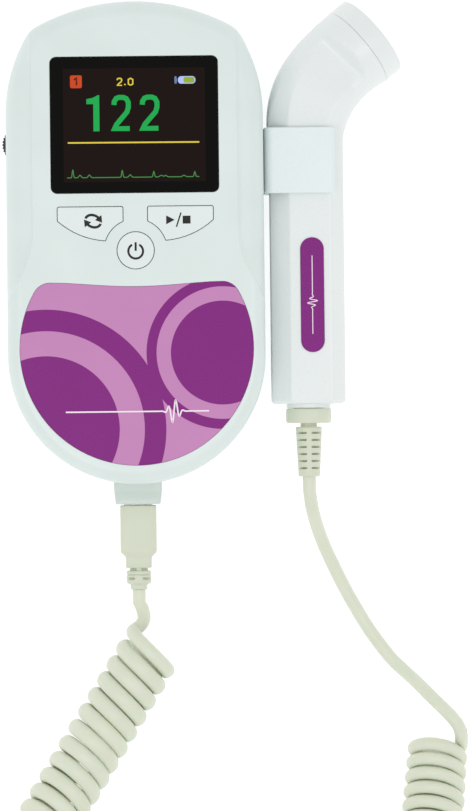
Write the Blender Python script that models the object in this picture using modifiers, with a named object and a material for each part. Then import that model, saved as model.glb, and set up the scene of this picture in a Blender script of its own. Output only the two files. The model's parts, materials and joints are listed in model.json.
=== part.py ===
"""Fetal doppler monitor with a clipped ultrasound probe and a curly lead.

The monitor lies on its back. X runs across it, Y up its face and Z out of its face.
The origin is on the back face, in the middle of the case. Lengths are in metres.
"""

import math

import bmesh
import bpy
import numpy as np
from mathutils import Vector

# Clearances
GAP = 0.0003
OVERRUN = 0.002
KEY_GAP = 0.0004
WHEEL_GAP = 0.0004

# Case
CASE_LENGTH = 0.135
CASE_WIDTH = 0.072
CASE_DEPTH = 0.035
CASE_WALL = 0.0024
CASE_TOP_RADIUS = 0.057
CASE_CHEEK_RADIUS = 0.044
CASE_SHOULDER_RADIUS = 0.008
CASE_CHEEK_LENGTH = 0.0318
CASE_FRONT_ROUND = 0.004
CASE_BACK_ROUND = 0.006
CASE_SPLIT_HEIGHT = 0.0197

# Sloping cheeks of the front, outside the two creases
CREASE_FROM_SIDE = 0.007
CREASE_DROP = 0.002
CREASE_FOOT_FROM_TOP = 0.0693
CREASE_FLARE_LENGTH = 0.0139

# Posts and screws of the case
POST_RADIUS = 0.0038
BOSS_RADIUS = 0.0032
TOP_POST_FROM_SIDE = 0.010
TOP_POST_FROM_TOP = 0.019
FOOT_POST_FROM_SIDE = 0.009
FOOT_POST_FROM_FOOT = 0.0275
SCREW_RADIUS = 0.00125
SCREW_HEAD_RADIUS = 0.0025
SCREW_HEAD_HEIGHT = 0.002
SCREW_SEAT_HEIGHT = 0.012
SCREW_LENGTH = 0.0173

# Screen window, display and its carrier
SCREEN_FROM_SIDE = 0.0126
SCREEN_HEIGHT = 0.038
SCREEN_CORNER = 0.0017
SCREEN_THICKNESS = 0.0012
SCREEN_LEDGE = 0.0025
SCREEN_FROM_TOP = 0.0346
DISPLAY_SIDE_MARGIN = 0.0014
DISPLAY_HEIGHT = 0.037
DISPLAY_THICKNESS = 0.0035
FRAME_MARGIN = 0.0003
FRAME_WALL = 0.0016

# Printed panel
LABEL_MARGIN = 0.0034
LABEL_DIP = 0.0012
LABEL_CORNER = 0.005
LABEL_THICKNESS = 0.0005
LABEL_TOP_FROM_TOP = 0.0786
LABEL_CENTRE_FROM_FOOT = 0.0379

# Keys and their switches
KEY_FROM_SIDE = 0.0142
KEY_FROM_MIDDLE = 0.0035
KEY_TOP_FROM_TOP = 0.0575
KEY_OUTER_HEIGHT = 0.0038
KEY_TIP_FROM_MIDDLE = 0.0081
KEY_TIP_DROP = 0.0094
KEY_BOW = 0.0012
KEY_CORNER = 0.0009
KEY_RING_RADIUS = 0.0089
POWER_KEY_RADIUS = 0.0053
POWER_KEY_FROM_TOP = 0.0697
KEY_TRAVEL = 0.0006
KEY_PROUD = 0.0003
KEY_FLANGE = 0.0009
KEY_FLANGE_THICKNESS = 0.001
KEY_STEM_RADIUS = 0.0016
KEY_STEM_FROM_MIDDLE = 0.0125
KEY_STEM_BELOW_TOP = 0.0043
KEY_PRESS_ROOM = 0.0001
SWITCH_WIDTH = 0.006
SWITCH_HEIGHT = 0.002
SWITCH_PLUNGER_RADIUS = 0.00175
SWITCH_PLUNGER_HEIGHT = 0.0005

# Circuit board
BOARD_THICKNESS = 0.0016
BOARD_MARGIN = 0.001

# Volume wheel
WHEEL_RADIUS = 0.0055
WHEEL_THICKNESS = 0.0025
WHEEL_PROUD = 0.0012
WHEEL_FROM_TOP = 0.0397
WHEEL_KNURL_DEPTH = 0.0003
WHEEL_SHAFT_RADIUS = 0.0015
POT_HEIGHT = 0.003
POT_WIDTH = 0.009
SCOOP_RADIUS = 0.012
SCOOP_DEPTH = 0.0008
SCOOP_MARGIN = 0.0015

# Loudspeaker and its grille
SPEAKER_RADIUS = 0.014
SPEAKER_RIM_HEIGHT = 0.0028
SPEAKER_MAGNET_RADIUS = 0.008
SPEAKER_HEIGHT = 0.0065
SPEAKER_FROM_TOP = 0.0295
SPEAKER_SEAT_WALL = 0.0012
SPEAKER_SEAT_HEIGHT = 0.003
GRILLE_SLOT_WIDTH = 0.0016
GRILLE_SLOT_LENGTH = 0.016
GRILLE_PITCH = 0.004

# Cells, battery well and door
CELL_RADIUS = 0.00725
CELL_LENGTH = 0.0505
CELL_NUB_RADIUS = 0.00275
CELL_NUB_HEIGHT = 0.001
CONTACT_ROOM = 0.0022
CONTACT_THICKNESS = 0.0004
CONTACT_WIDTH = 0.012
CONTACT_NUB_RADIUS = 0.0035
CONTACT_NUB_TIP_RADIUS = 0.0015
WELL_WALL = 0.0014
WELL_FROM_FOOT = 0.017
DOOR_THICKNESS = 0.002
DOOR_SIDE_COVER = 0.0014
DOOR_TOP_COVER = 0.0016
DOOR_SADDLE_THICKNESS = 0.0019
DOOR_SADDLE_MARGIN = 0.003
TONGUE_WIDTH = 0.0014
TONGUE_THICKNESS = 0.0008
TONGUE_LENGTH = 0.030
DOOR_TRAVEL = 0.020

# Probe socket at the foot of the case
SOCKET_HEIGHT = 0.0082
SOCKET_WIDTH = 0.0112
SOCKET_DEPTH = 0.0064
SOCKET_INNER_LENGTH = 0.0105
SOCKET_OUTER_LENGTH = 0.0053
HOUSING_WIDTH = 0.0137
HOUSING_END_WIDTH = 0.0127
HOUSING_DEPTH = 0.0098
HOUSING_LENGTH = 0.0058
HOUSING_ROUND = 0.0012

# Plug
PLUG_FACE_GAP = 0.0004
PLUG_WIDTH = 0.0102
PLUG_DEPTH = 0.0076
PLUG_LENGTH = 0.0125
PLUG_CHAMFER = 0.0016
PLUG_NECK_WIDTH = 0.0073
PLUG_NECK_LENGTH = 0.0032
PLUG_ROUND = 0.001
NOSE_WIDTH = 0.008
NOSE_DEPTH = 0.0034
NOSE_LENGTH = 0.0053
NOSE_ROOT_LENGTH = 0.0037
NOSE_WALL = 0.0007
NOSE_MOUTH_LENGTH = 0.003
PLUG_TRAVEL = 0.005
PLUG_BOOT_RADIUS = 0.0035
PLUG_BOOT_WAIST_RADIUS = 0.0026
PLUG_BOOT_NECK_LENGTH = 0.0007
PLUG_BOOT_RING_LENGTH = 0.0016
PLUG_BOOT_GROOVE_LENGTH = 0.0006
PLUG_BOOT_TAPER_LENGTH = 0.0014

# Probe holder
HOLDER_FROM_TOP = 0.045
HOLDER_LENGTH = 0.0187
HOLDER_REACH = 0.0199
HOLDER_WEB = 0.0013
HOLDER_ARM = 0.0018
HOLDER_ROUND = 0.0028
HOLDER_LIP = 0.0008
PEG_RADIUS = 0.0024
PEG_PROUD = 0.0006
PEG_FROM_MIDDLE = 0.0055
PEG_SCREW_RADIUS = 0.0008
PEG_SCREW_HEAD_RADIUS = 0.0032
PEG_SCREW_HEAD_HEIGHT = 0.0016
PEG_SCREW_LENGTH = 0.0038

# Probe handle and head
PROBE_HEIGHT = 0.014
PROBE_WIDTH = 0.0207
PROBE_FLAT = 0.0115
PROBE_WALL = 0.0018
HEAD_WALL = 0.0013
PROBE_FOOT_LENGTH = 0.0681
PROBE_FOOT_CHAMFER = 0.0012
PROBE_TRAVEL = 0.030
BEND_OUTER_START = 0.0095
BEND_OUTER_RISE = 0.016
BEND_OUTER_REACH = 0.014
BEND_INNER_START = 0.0045
BEND_INNER_RISE = 0.0065
BEND_INNER_REACH = 0.009
BEND_INNER_ANGLE = math.radians(64)
HEAD_ANGLE = math.radians(50.4)
HEAD_TILT = math.radians(10)
HEAD_DIAMETER = 0.0248
HEAD_OFFSET = 0.0148
HEAD_RISE = 0.032
RING_HEIGHT = 0.005
RING_ROUND = 0.0008
RING_SPIGOT_LENGTH = 0.002
RING_SHELF_HEIGHT = 0.003
RING_RIM = 0.0009
RING_BORE_RADIUS = 0.0096
LENS_EDGE_HEIGHT = 0.0022
LENS_DOME_HEIGHT = 0.0022
CRYSTAL_THICKNESS = 0.0012
CRYSTAL_SPLIT = 0.0006
BACKING_THICKNESS = 0.004
PROBE_BOARD_WIDTH = 0.012
PROBE_BOARD_LENGTH = 0.050
PROBE_BOARD_THICKNESS = 0.0012
PROBE_BOARD_FROM_FOOT = 0.008
PROBE_BOARD_DROP = 0.0014
PROBE_RIB_THICKNESS = 0.0014
PROBE_RIB_SHARES = (0.15, 0.85)
PILL_WIDTH = 0.0065
PILL_LENGTH = 0.0321
PILL_THICKNESS = 0.0005
PILL_RECESS = 0.0005
PILL_OFFSET = 0.0009
PILL_FROM_FOOT = 0.0306
COLLAR_RADIUS = 0.00635
COLLAR_LENGTH = 0.0051
COLLAR_CHAMFER = 0.0006
COLLAR_NECK_RADIUS = 0.0042
COLLAR_NECK_LENGTH = 0.0036
BOOT_RADIUS = 0.0035
BOOT_TIP_RADIUS = 0.00295
BOOT_LENGTH = 0.0145
BOOT_ROOT_LENGTH = 0.0018
BOOT_GROOVE_PITCH = 0.00196
BOOT_GROOVE_WIDTH = 0.0008
BOOT_GROOVE_DEPTH = 0.0007

# Lead: a round cord, curled in its middle
CORD_RADIUS = 0.00185
CORD_STEP = 0.0075
CURL_RADIUS = 0.00635
CURL_LIFT = 0.0002
CURL_PITCH_NEAR = 0.0052
CURL_PITCH_LOOP = 0.0056
CURL_PITCH_FAR = 0.00415
CURL_TURN_RADIUS = 0.032
CURL_START = (0.00081, -0.11805)
CURL_START_ANGLE = math.radians(-121.6)
CURL_END_ANGLE = math.radians(85.0)
CURL_NEAR_LENGTH = 0.053
CURL_FLOOR_LENGTH = 0.0486
CURL_FAR_LENGTH = 0.0437
CURL_START_PHASE = math.radians(100)
CURL_END_PHASE = math.radians(170)
CURL_ENTRY_REACH = 0.0020
CURL_JOIN_REACH = 0.0070
CURL_EXIT_REACH = 0.0060

# Hand-chosen points of the cord's straight stretches, from the plug and from the probe
LEAD_MONITOR_ROUTE = (
    (0.0001, -0.1022, 0.0083),
    (0.0002, -0.1031, 0.0085),
)
LEAD_PROBE_ROUTE = (
    (0.0489, -0.0745, 0.0123),
    (0.0502, -0.0795, 0.0085),
    (0.0522, -0.0850, 0.0045),
    (0.0546, -0.0904, 0.0024),
    (0.0583, -0.0980, 0.00205),
    (0.0619, -0.1045, 0.00205),
    (0.0650, -0.1096, 0.00205),
    (0.0679, -0.1137, 0.00205),
    (0.0710, -0.1177, 0.0022),
    (0.0737, -0.1204, 0.0034),
    (0.0764, -0.1229, 0.0060),
    (0.0790, -0.1254, 0.0093),
    (0.0814, -0.1279, 0.0119),
    (0.0838, -0.1303, 0.0132),
)

# Counts of steps and repeats
ARC_STEPS = 5
FOOT_STEPS = 9
BEVEL_STEPS = 3
ROUND_STEPS = 24
BEND_STEPS = 8
ENTRY_STEPS = 8
SECTION_POINTS = 16
CURL_STEPS = 9
GRILLE_SLOTS = 5
KNURLS = 20
BOOT_GROOVES = 6

# Places that follow from the sizes above
HALF_WIDTH = CASE_WIDTH / 2
TOP_Y = CASE_LENGTH / 2
FOOT_Y = -CASE_LENGTH / 2
FOOT_CENTRE_Y = FOOT_Y + HALF_WIDTH
CHEEK_Y = TOP_Y - CASE_CHEEK_LENGTH
FRONT_INNER_Z = CASE_DEPTH - CASE_WALL
SCREEN_Y = TOP_Y - SCREEN_FROM_TOP
SCREEN_WIDTH = CASE_WIDTH - 2 * SCREEN_FROM_SIDE
DISPLAY_WIDTH = SCREEN_WIDTH - 2 * DISPLAY_SIDE_MARGIN
LABEL_CENTRE_Y = FOOT_Y + LABEL_CENTRE_FROM_FOOT
LABEL_TOP_Y = TOP_Y - LABEL_TOP_FROM_TOP
LABEL_RADIUS = HALF_WIDTH - LABEL_MARGIN
POWER_KEY_Y = TOP_Y - POWER_KEY_FROM_TOP
KEY_TOP_Y = TOP_Y - KEY_TOP_FROM_TOP
KEY_OUTER_X = HALF_WIDTH - KEY_FROM_SIDE
KEY_STEM_Y = KEY_TOP_Y - KEY_STEM_BELOW_TOP
BOARD_Z = CASE_SPLIT_HEIGHT + GAP
BOARD_TOP_Z = BOARD_Z + BOARD_THICKNESS
DISPLAY_Z = FRONT_INNER_Z - GAP - DISPLAY_THICKNESS
SWITCH_Z = BOARD_TOP_Z + GAP
KEY_FLANGE_Z = FRONT_INNER_Z - GAP - KEY_FLANGE_THICKNESS
WHEEL_X = -(HALF_WIDTH + WHEEL_PROUD - WHEEL_RADIUS)
WHEEL_Y = TOP_Y - WHEEL_FROM_TOP
WHEEL_Z = BOARD_TOP_Z + GAP + POT_HEIGHT + GAP
SPEAKER_Y = TOP_Y - SPEAKER_FROM_TOP
CELL_X = CELL_RADIUS + GAP
CELL_Z = DOOR_THICKNESS + GAP + CELL_RADIUS
WELL_HALF_WIDTH = CELL_X + CELL_RADIUS + GAP
WELL_FOOT_Y = FOOT_Y + WELL_FROM_FOOT
WELL_TOP_Y = WELL_FOOT_Y + CELL_LENGTH + 2 * CONTACT_ROOM
WELL_CEILING_Z = CELL_Z + CELL_RADIUS + GAP
DOOR_HALF_WIDTH = WELL_HALF_WIDTH + DOOR_SIDE_COVER
DOOR_TOP_Y = WELL_TOP_Y + DOOR_TOP_COVER
RECESS_Z = DOOR_THICKNESS + GAP
SOCKET_INNER_Y = FOOT_Y + SOCKET_INNER_LENGTH
SOCKET_OUTER_Y = FOOT_Y - SOCKET_OUTER_LENGTH
HOUSING_END_Y = FOOT_Y - HOUSING_LENGTH
PLUG_FACE_Y = HOUSING_END_Y - PLUG_FACE_GAP
PLUG_NECK_Y = PLUG_FACE_Y - PLUG_LENGTH - PLUG_CHAMFER
PLUG_END_Y = PLUG_NECK_Y - PLUG_NECK_LENGTH
HOLDER_Y = TOP_Y - HOLDER_FROM_TOP
HOLDER_X = HALF_WIDTH + GAP
PROBE_X = HOLDER_X + HOLDER_WEB + GAP + PROBE_WIDTH / 2
PROBE_FOOT_Y = HOLDER_Y - PROBE_FOOT_LENGTH
PROBE_FRONT_Z = PROBE_HEIGHT + PROBE_WIDTH / 2
HEAD_RADIUS = HEAD_DIAMETER / 2
HEAD_WAY = Vector((math.sin(HEAD_ANGLE), math.cos(HEAD_ANGLE), 0))
HEAD_AXIS = HEAD_WAY * math.cos(HEAD_TILT) - Vector((0, 0, math.sin(HEAD_TILT)))
HEAD_ACROSS = Vector((math.cos(HEAD_ANGLE), -math.sin(HEAD_ANGLE), 0))
HEAD_CENTRE = Vector((PROBE_X + HEAD_OFFSET, HOLDER_Y + HEAD_RISE, PROBE_HEIGHT))
COLLAR_TOP_Y = PROBE_FOOT_Y - GAP
BOOT_TOP_Y = COLLAR_TOP_Y - COLLAR_LENGTH - GAP
CURL_HEIGHT = CURL_RADIUS + CORD_RADIUS + CURL_LIFT


# Scene and materials


def start_scene():
    """Empties the scene and makes a collection for the parts and one for the cutters."""
    for item in list(bpy.data.objects):
        bpy.data.objects.remove(item, do_unlink=True)
    for name in ("fetal_doppler", "cutters"):
        collection = bpy.data.collections.new(name)
        bpy.context.scene.collection.children.link(collection)


def plastic(name, colour, roughness=0.4, metallic=0.0):
    """A Principled material with a plain colour."""
    material = bpy.data.materials.get(name)
    if material is None:
        material = bpy.data.materials.new(name)
        material.use_nodes = True
        shader = material.node_tree.nodes["Principled BSDF"]
        shader.inputs["Base Color"].default_value = (*colour, 1)
        shader.inputs["Roughness"].default_value = roughness
        shader.inputs["Metallic"].default_value = metallic
    return material


def case_white():
    """Cool white moulded plastic."""
    return plastic("case_white", (0.78, 0.84, 0.83), 0.35)


def key_white():
    """White key plastic."""
    return plastic("key_white", (0.80, 0.85, 0.84), 0.4)


def gloss_black():
    """Glossy black window."""
    return plastic("gloss_black", (0.006, 0.005, 0.005), 0.08)


def panel_pink():
    """Pink printed film."""
    return plastic("panel_pink", (0.56, 0.235, 0.49), 0.3)


def label_purple():
    """Purple printed film."""
    return plastic("label_purple", (0.23, 0.02, 0.21), 0.3)


def cord_cream():
    """Cream flexible plastic of the plug and the cord."""
    return plastic("cord_cream", (0.70, 0.73, 0.61), 0.5)


def face_grey():
    """Pale acoustic rubber."""
    return plastic("face_grey", (0.72, 0.76, 0.75), 0.45)


def dark_grey():
    """Dark grey plastic."""
    return plastic("dark_grey", (0.05, 0.05, 0.055), 0.5)


def board_green():
    """Circuit board laminate."""
    return plastic("board_green", (0.02, 0.16, 0.07), 0.45)


def plated_steel():
    """Plated steel of screws and contacts."""
    return plastic("plated_steel", (0.62, 0.62, 0.60), 0.3, 1.0)


def ceramic():
    """Silvered piezo ceramic."""
    return plastic("ceramic", (0.55, 0.52, 0.46), 0.4)


# Making and placing objects


def add(mesh, name, material, angle=35):
    """Links a new object for a mesh among the parts and shades its round faces smooth."""
    item = bpy.data.objects.new(name, mesh)
    bpy.data.collections["fetal_doppler"].objects.link(item)
    mesh.materials.append(material)
    mesh.shade_smooth()
    mesh.set_sharp_from_angle(angle=math.radians(angle))
    return item


def as_cutter(item):
    """Turns an object into a cutter."""
    bpy.data.collections["fetal_doppler"].objects.unlink(item)
    bpy.data.collections["cutters"].objects.link(item)
    item.name = "cut_" + item.name
    item.hide_render = True
    item.display_type = "WIRE"
    return item


def combine(item, other, operation):
    """Cuts, joins or trims an object by another one, which becomes a cutter."""
    if other.name in bpy.data.collections["fetal_doppler"].objects:
        as_cutter(other)
    step = item.modifiers.new(operation.lower(), "BOOLEAN")
    step.operation = operation
    step.solver = "EXACT"
    step.object = other
    return item


def cut(item, *others):
    """Takes other objects away from an object."""
    for other in others:
        combine(item, other, "DIFFERENCE")
    return item


def join(item, *others):
    """Joins other objects to an object."""
    for other in others:
        combine(item, other, "UNION")
    return item


def set_origin(item, point):
    """Moves an object's origin to a point and leaves its mesh where it is."""
    shift = Vector(point) - item.location
    for vertex in item.data.vertices:
        vertex.co -= shift
    item.location = point
    return item


def guide_empty(name, point):
    """An empty that carries moving pieces, on their joint's axis."""
    empty = bpy.data.objects.new(name, None)
    bpy.data.collections["fetal_doppler"].objects.link(empty)
    empty.location = point
    return empty


def carry(empty, *items):
    """Parents pieces to an empty without moving them."""
    for item in items:
        item.parent = empty
        item.location = item.location - empty.location


def box(name, low, high, material=None):
    """A box between two corners."""
    mesh = bpy.data.meshes.new(name)
    shape = bmesh.new()
    bmesh.ops.create_cube(shape, size=1)
    low, high = Vector(low), Vector(high)
    bmesh.ops.scale(shape, vec=high - low, verts=shape.verts)
    bmesh.ops.translate(shape, vec=(low + high) / 2, verts=shape.verts)
    shape.to_mesh(mesh)
    shape.free()
    return add(mesh, name, material or dark_grey())


def rod(name, radius, start, end, material=None, steps=ROUND_STEPS, end_radius=None):
    """A cylinder, or a cone with end_radius, from one point to another."""
    start, end = Vector(start), Vector(end)
    along = end - start
    mesh = bpy.data.meshes.new(name)
    shape = bmesh.new()
    bmesh.ops.create_cone(
        shape,
        cap_ends=True,
        segments=steps,
        radius1=radius,
        radius2=radius if end_radius is None else end_radius,
        depth=along.length,
    )
    turn = Vector((0, 0, 1)).rotation_difference(along).to_matrix().to_4x4()
    bmesh.ops.transform(shape, matrix=turn, verts=shape.verts)
    bmesh.ops.translate(shape, vec=(start + end) / 2, verts=shape.verts)
    shape.to_mesh(mesh)
    shape.free()
    return add(mesh, name, material or dark_grey())


def turned(name, profile, material, steps=ROUND_STEPS):
    """A turned piece about its own Z, from a profile that runs down its outer side."""
    mesh = bpy.data.meshes.new(name)
    closed = profile[0][0] > 0
    count = len(profile)
    edges = [(i, (i + 1) % count) for i in range(count if closed else count - 1)]
    mesh.from_pydata([(radius, 0, height) for radius, height in profile], edges, [])
    item = add(mesh, name, material)
    screw = item.modifiers.new("turn", "SCREW")
    screw.axis = "Z"
    screw.steps = steps
    screw.render_steps = steps
    screw.use_merge_vertices = True
    screw.merge_threshold = 0.00001
    screw.use_smooth_shade = True
    return item


def point_along(item, place, euler):
    """Places a turned piece with its axis where the turn about X and Z puts it."""
    item.location = place
    item.rotation_euler = euler
    return item


def prism(name, outline, bottom, top, material=None, bottom_round=0.0, top_round=0.0):
    """A flat outline with thickness along Z and, if asked, rounded rims."""
    curve = bpy.data.curves.new(name, "CURVE")
    curve.dimensions = "2D"
    curve.fill_mode = "BOTH"
    curve.extrude = (top - bottom) / 2
    spline = curve.splines.new("POLY")
    spline.points.add(len(outline) - 1)
    for point, (x, y) in zip(spline.points, outline):
        point.co = (x, y, 0, 1)
    spline.use_cyclic_u = True
    flat = bpy.data.objects.new(name, curve)
    bpy.context.scene.collection.objects.link(flat)
    bpy.context.view_layer.update()
    seen = flat.evaluated_get(bpy.context.evaluated_depsgraph_get())
    mesh = bpy.data.meshes.new_from_object(seen)
    bpy.data.objects.remove(flat, do_unlink=True)
    bpy.data.curves.remove(curve)
    shape = bmesh.new()
    shape.from_mesh(mesh)
    bmesh.ops.remove_doubles(shape, verts=shape.verts, dist=0.000001)
    bmesh.ops.dissolve_limit(
        shape, angle_limit=math.radians(0.1), verts=shape.verts, edges=shape.edges
    )
    bmesh.ops.translate(shape, vec=(0, 0, (bottom + top) / 2), verts=shape.verts)
    for height, radius in ((bottom, bottom_round), (top, top_round)):
        if radius:
            rim = [
                edge
                for edge in shape.edges
                if all(abs(v.co.z - height) < GAP / 100 for v in edge.verts)
            ]
            bmesh.ops.bevel(
                shape,
                geom=rim,
                offset=radius,
                offset_type="OFFSET",
                segments=BEVEL_STEPS,
                profile=0.5,
                affect="EDGES",
                clamp_overlap=False,
            )
    bmesh.ops.recalc_face_normals(shape, faces=shape.faces)
    shape.to_mesh(mesh)
    shape.free()
    return add(mesh, name, material or dark_grey())


def loft(name, rings, material=None):
    """Skins a row of closed rings of equal point counts and closes both ends."""
    count = len(rings[0])
    points = [tuple(point) for ring in rings for point in ring]
    faces = []
    for row in range(len(rings) - 1):
        for k in range(count):
            here, along = row * count + k, row * count + (k + 1) % count
            faces.append((here, along, along + count, here + count))
    faces.append(tuple(reversed(range(count))))
    faces.append(tuple(range(len(points) - count, len(points))))
    mesh = bpy.data.meshes.new(name)
    mesh.from_pydata(points, [], faces)
    shape = bmesh.new()
    shape.from_mesh(mesh)
    sides = [face for face in shape.faces if len(face.verts) == 4]
    bmesh.ops.triangulate(shape, faces=sides)
    bmesh.ops.recalc_face_normals(shape, faces=shape.faces)
    shape.to_mesh(mesh)
    shape.free()
    return add(mesh, name, material or dark_grey())


# Outlines


def arc(centre, radius, start, end, steps):
    """Points on an arc from one angle to another, both ends included."""
    angles = np.linspace(start, end, steps + 1)
    x = centre[0] + radius * np.cos(angles)
    y = centre[1] + radius * np.sin(angles)
    return list(zip(x, y))


def meet(first, first_radius, second, second_radius):
    """The right-hand, upper point where two circles cross."""
    first, second = Vector(first), Vector(second)
    along = second - first
    reach = along.length
    foot = (first_radius**2 - second_radius**2 + reach**2) / (2 * reach)
    rise = math.sqrt(first_radius**2 - foot**2)
    base = first + along * foot / reach
    across = Vector((-along.y, along.x)) * rise / reach
    return max((base + across, base - across), key=lambda p: p.x)


def bearing(start, end):
    """The angle of the line from one point to another."""
    return math.atan2(end[1] - start[1], end[0] - start[0])


def mirrored(half):
    """A closed outline from its right half, which runs from the top to the foot."""
    return half + [(-x, y) for x, y in reversed(half) if x > GAP / 100]


def case_outline(inset=0.0):
    """The case seen from the front: four arcs a side that keep their centres when inset."""
    top = (0, TOP_Y - CASE_TOP_RADIUS)
    cheek = (HALF_WIDTH - CASE_CHEEK_RADIUS, CHEEK_Y)
    foot = (0, FOOT_CENTRE_Y)
    shoulder = meet(
        top,
        CASE_TOP_RADIUS - CASE_SHOULDER_RADIUS,
        cheek,
        CASE_CHEEK_RADIUS - CASE_SHOULDER_RADIUS,
    )
    upper, lower = bearing(top, shoulder), bearing(cheek, shoulder)
    half = arc(top, CASE_TOP_RADIUS - inset, math.pi / 2, upper, ARC_STEPS)
    half += arc(shoulder, CASE_SHOULDER_RADIUS - inset, upper, lower, ARC_STEPS)[1:-1]
    half += arc(cheek, CASE_CHEEK_RADIUS - inset, lower, 0, ARC_STEPS)
    half += arc(foot, HALF_WIDTH - inset, 0, -math.pi / 2, FOOT_STEPS)
    return mirrored(half)


def foot_plate_outline(half_width, top, inset=0.0):
    """A strip that runs from a straight top down to the round foot of the case."""
    radius = HALF_WIDTH - inset
    spread = math.asin(half_width / radius)
    foot = arc(
        (0, FOOT_CENTRE_Y),
        radius,
        -math.pi / 2 - spread,
        -math.pi / 2 + spread,
        FOOT_STEPS,
    )
    return [(half_width, top), (-half_width, top)] + foot


def round_rectangle(width, height, radius, middle=(0, 0), steps=ARC_STEPS):
    """A rectangle with round corners."""
    across, up = width / 2 - radius, height / 2 - radius
    corners = ((across, up, 0), (-across, up, 1), (-across, -up, 2), (across, -up, 3))
    points = []
    for x, y, quarter in corners:
        start = quarter * math.pi / 2
        centre = (middle[0] + x, middle[1] + y)
        points += arc(centre, radius, start, start + math.pi / 2, steps)
    return points


def offset(points, distance):
    """An outline moved outwards by a distance, with mitred corners."""
    ring = np.array(points)
    edge = np.roll(ring, -1, axis=0) - ring
    edge /= np.linalg.norm(edge, axis=1)[:, None]
    area = np.sum(ring[:, 0] * np.roll(ring[:, 1], -1) - np.roll(ring[:, 0], -1) * ring[:, 1])
    outward = np.stack([edge[:, 1], -edge[:, 0]], axis=1) * np.sign(area)
    both = outward + np.roll(outward, 1, axis=0)
    both /= np.sum(both * outward, axis=1)[:, None]
    return [tuple(point) for point in ring + both * distance]


def soften(points, corners, radius):
    """Replaces the named corners of an outline by two points a little along each side."""
    result = []
    count = len(points)
    for k, point in enumerate(points):
        if k not in corners:
            result.append(point)
            continue
        here = Vector(point)
        before = (Vector(points[k - 1]) - here).normalized()
        after = (Vector(points[(k + 1) % count]) - here).normalized()
        middle = (before + after) * radius / 2
        result += [here + before * radius, here + middle * math.sqrt(0.5), here + after * radius]
    return [(p[0], p[1]) for p in result]


def side_key_outline():
    """The right-hand key: a bar whose foot sweeps in to a ring about the power key."""
    middle = (0, POWER_KEY_Y)
    outer = Vector((KEY_OUTER_X, KEY_TOP_Y - KEY_OUTER_HEIGHT))
    rise = math.sqrt(KEY_RING_RADIUS**2 - KEY_FROM_MIDDLE**2)
    drop = math.sqrt(KEY_RING_RADIUS**2 - KEY_TIP_FROM_MIDDLE**2)
    tip = Vector((KEY_TIP_FROM_MIDDLE, POWER_KEY_Y + drop))
    across = (tip - outer).normalized()
    outward = Vector((across.y, -across.x))
    sweep = []
    for share in np.linspace(0, 1, ARC_STEPS + 1)[1:-1]:
        bow = outward * KEY_BOW * 4 * share * (1 - share)
        point = outer.lerp(tip, share) - bow
        sweep.append((point.x, point.y))
    ring = arc(
        middle,
        KEY_RING_RADIUS,
        bearing(middle, tip),
        bearing(middle, (KEY_FROM_MIDDLE, POWER_KEY_Y + rise)),
        ARC_STEPS,
    )
    corners = [(KEY_FROM_MIDDLE, KEY_TOP_Y), (KEY_OUTER_X, KEY_TOP_Y), (outer.x, outer.y)]
    points = corners + sweep + ring
    last = len(points) - 1
    return soften(points, {0, 1, 2, len(corners) + len(sweep), last}, KEY_CORNER)


def flipped(points):
    """An outline mirrored left to right."""
    return [(-x, y) for x, y in reversed(points)]


def label_outline(inset=0.0):
    """The printed panel: most of a circle, with a shallow dip across its top."""
    radius = LABEL_RADIUS - inset
    top = LABEL_TOP_Y - inset
    corner = LABEL_CORNER - inset
    corner_y = LABEL_TOP_Y - LABEL_CORNER
    reach = LABEL_RADIUS - LABEL_CORNER
    corner_x = math.sqrt(reach**2 - (corner_y - LABEL_CENTRE_Y) ** 2)
    half = []
    for share in np.linspace(0, 1, ARC_STEPS + 1)[:-1]:
        half.append((corner_x * share, top - LABEL_DIP * (1 - share**2) ** 2))
    lower = bearing((0, LABEL_CENTRE_Y), (corner_x, corner_y))
    half += arc((corner_x, corner_y), corner, math.pi / 2, lower, ARC_STEPS)
    half += arc((0, LABEL_CENTRE_Y), radius, lower, -math.pi / 2, 2 * FOOT_STEPS)[1:]
    return mirrored(half)


# Case shells


def post_places():
    """The four screw posts, left and right, top pair first."""
    top = (HALF_WIDTH - TOP_POST_FROM_SIDE, TOP_Y - TOP_POST_FROM_TOP)
    foot = (HALF_WIDTH - FOOT_POST_FROM_SIDE, FOOT_Y + FOOT_POST_FROM_FOOT)
    return [(side * x, y) for x, y in (top, foot) for side in (-1, 1)]


def peg_places():
    """Where the holder's two pegs cross the case's right wall, along Y."""
    return [HOLDER_Y - PEG_FROM_MIDDLE, HOLDER_Y + PEG_FROM_MIDDLE]


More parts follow.
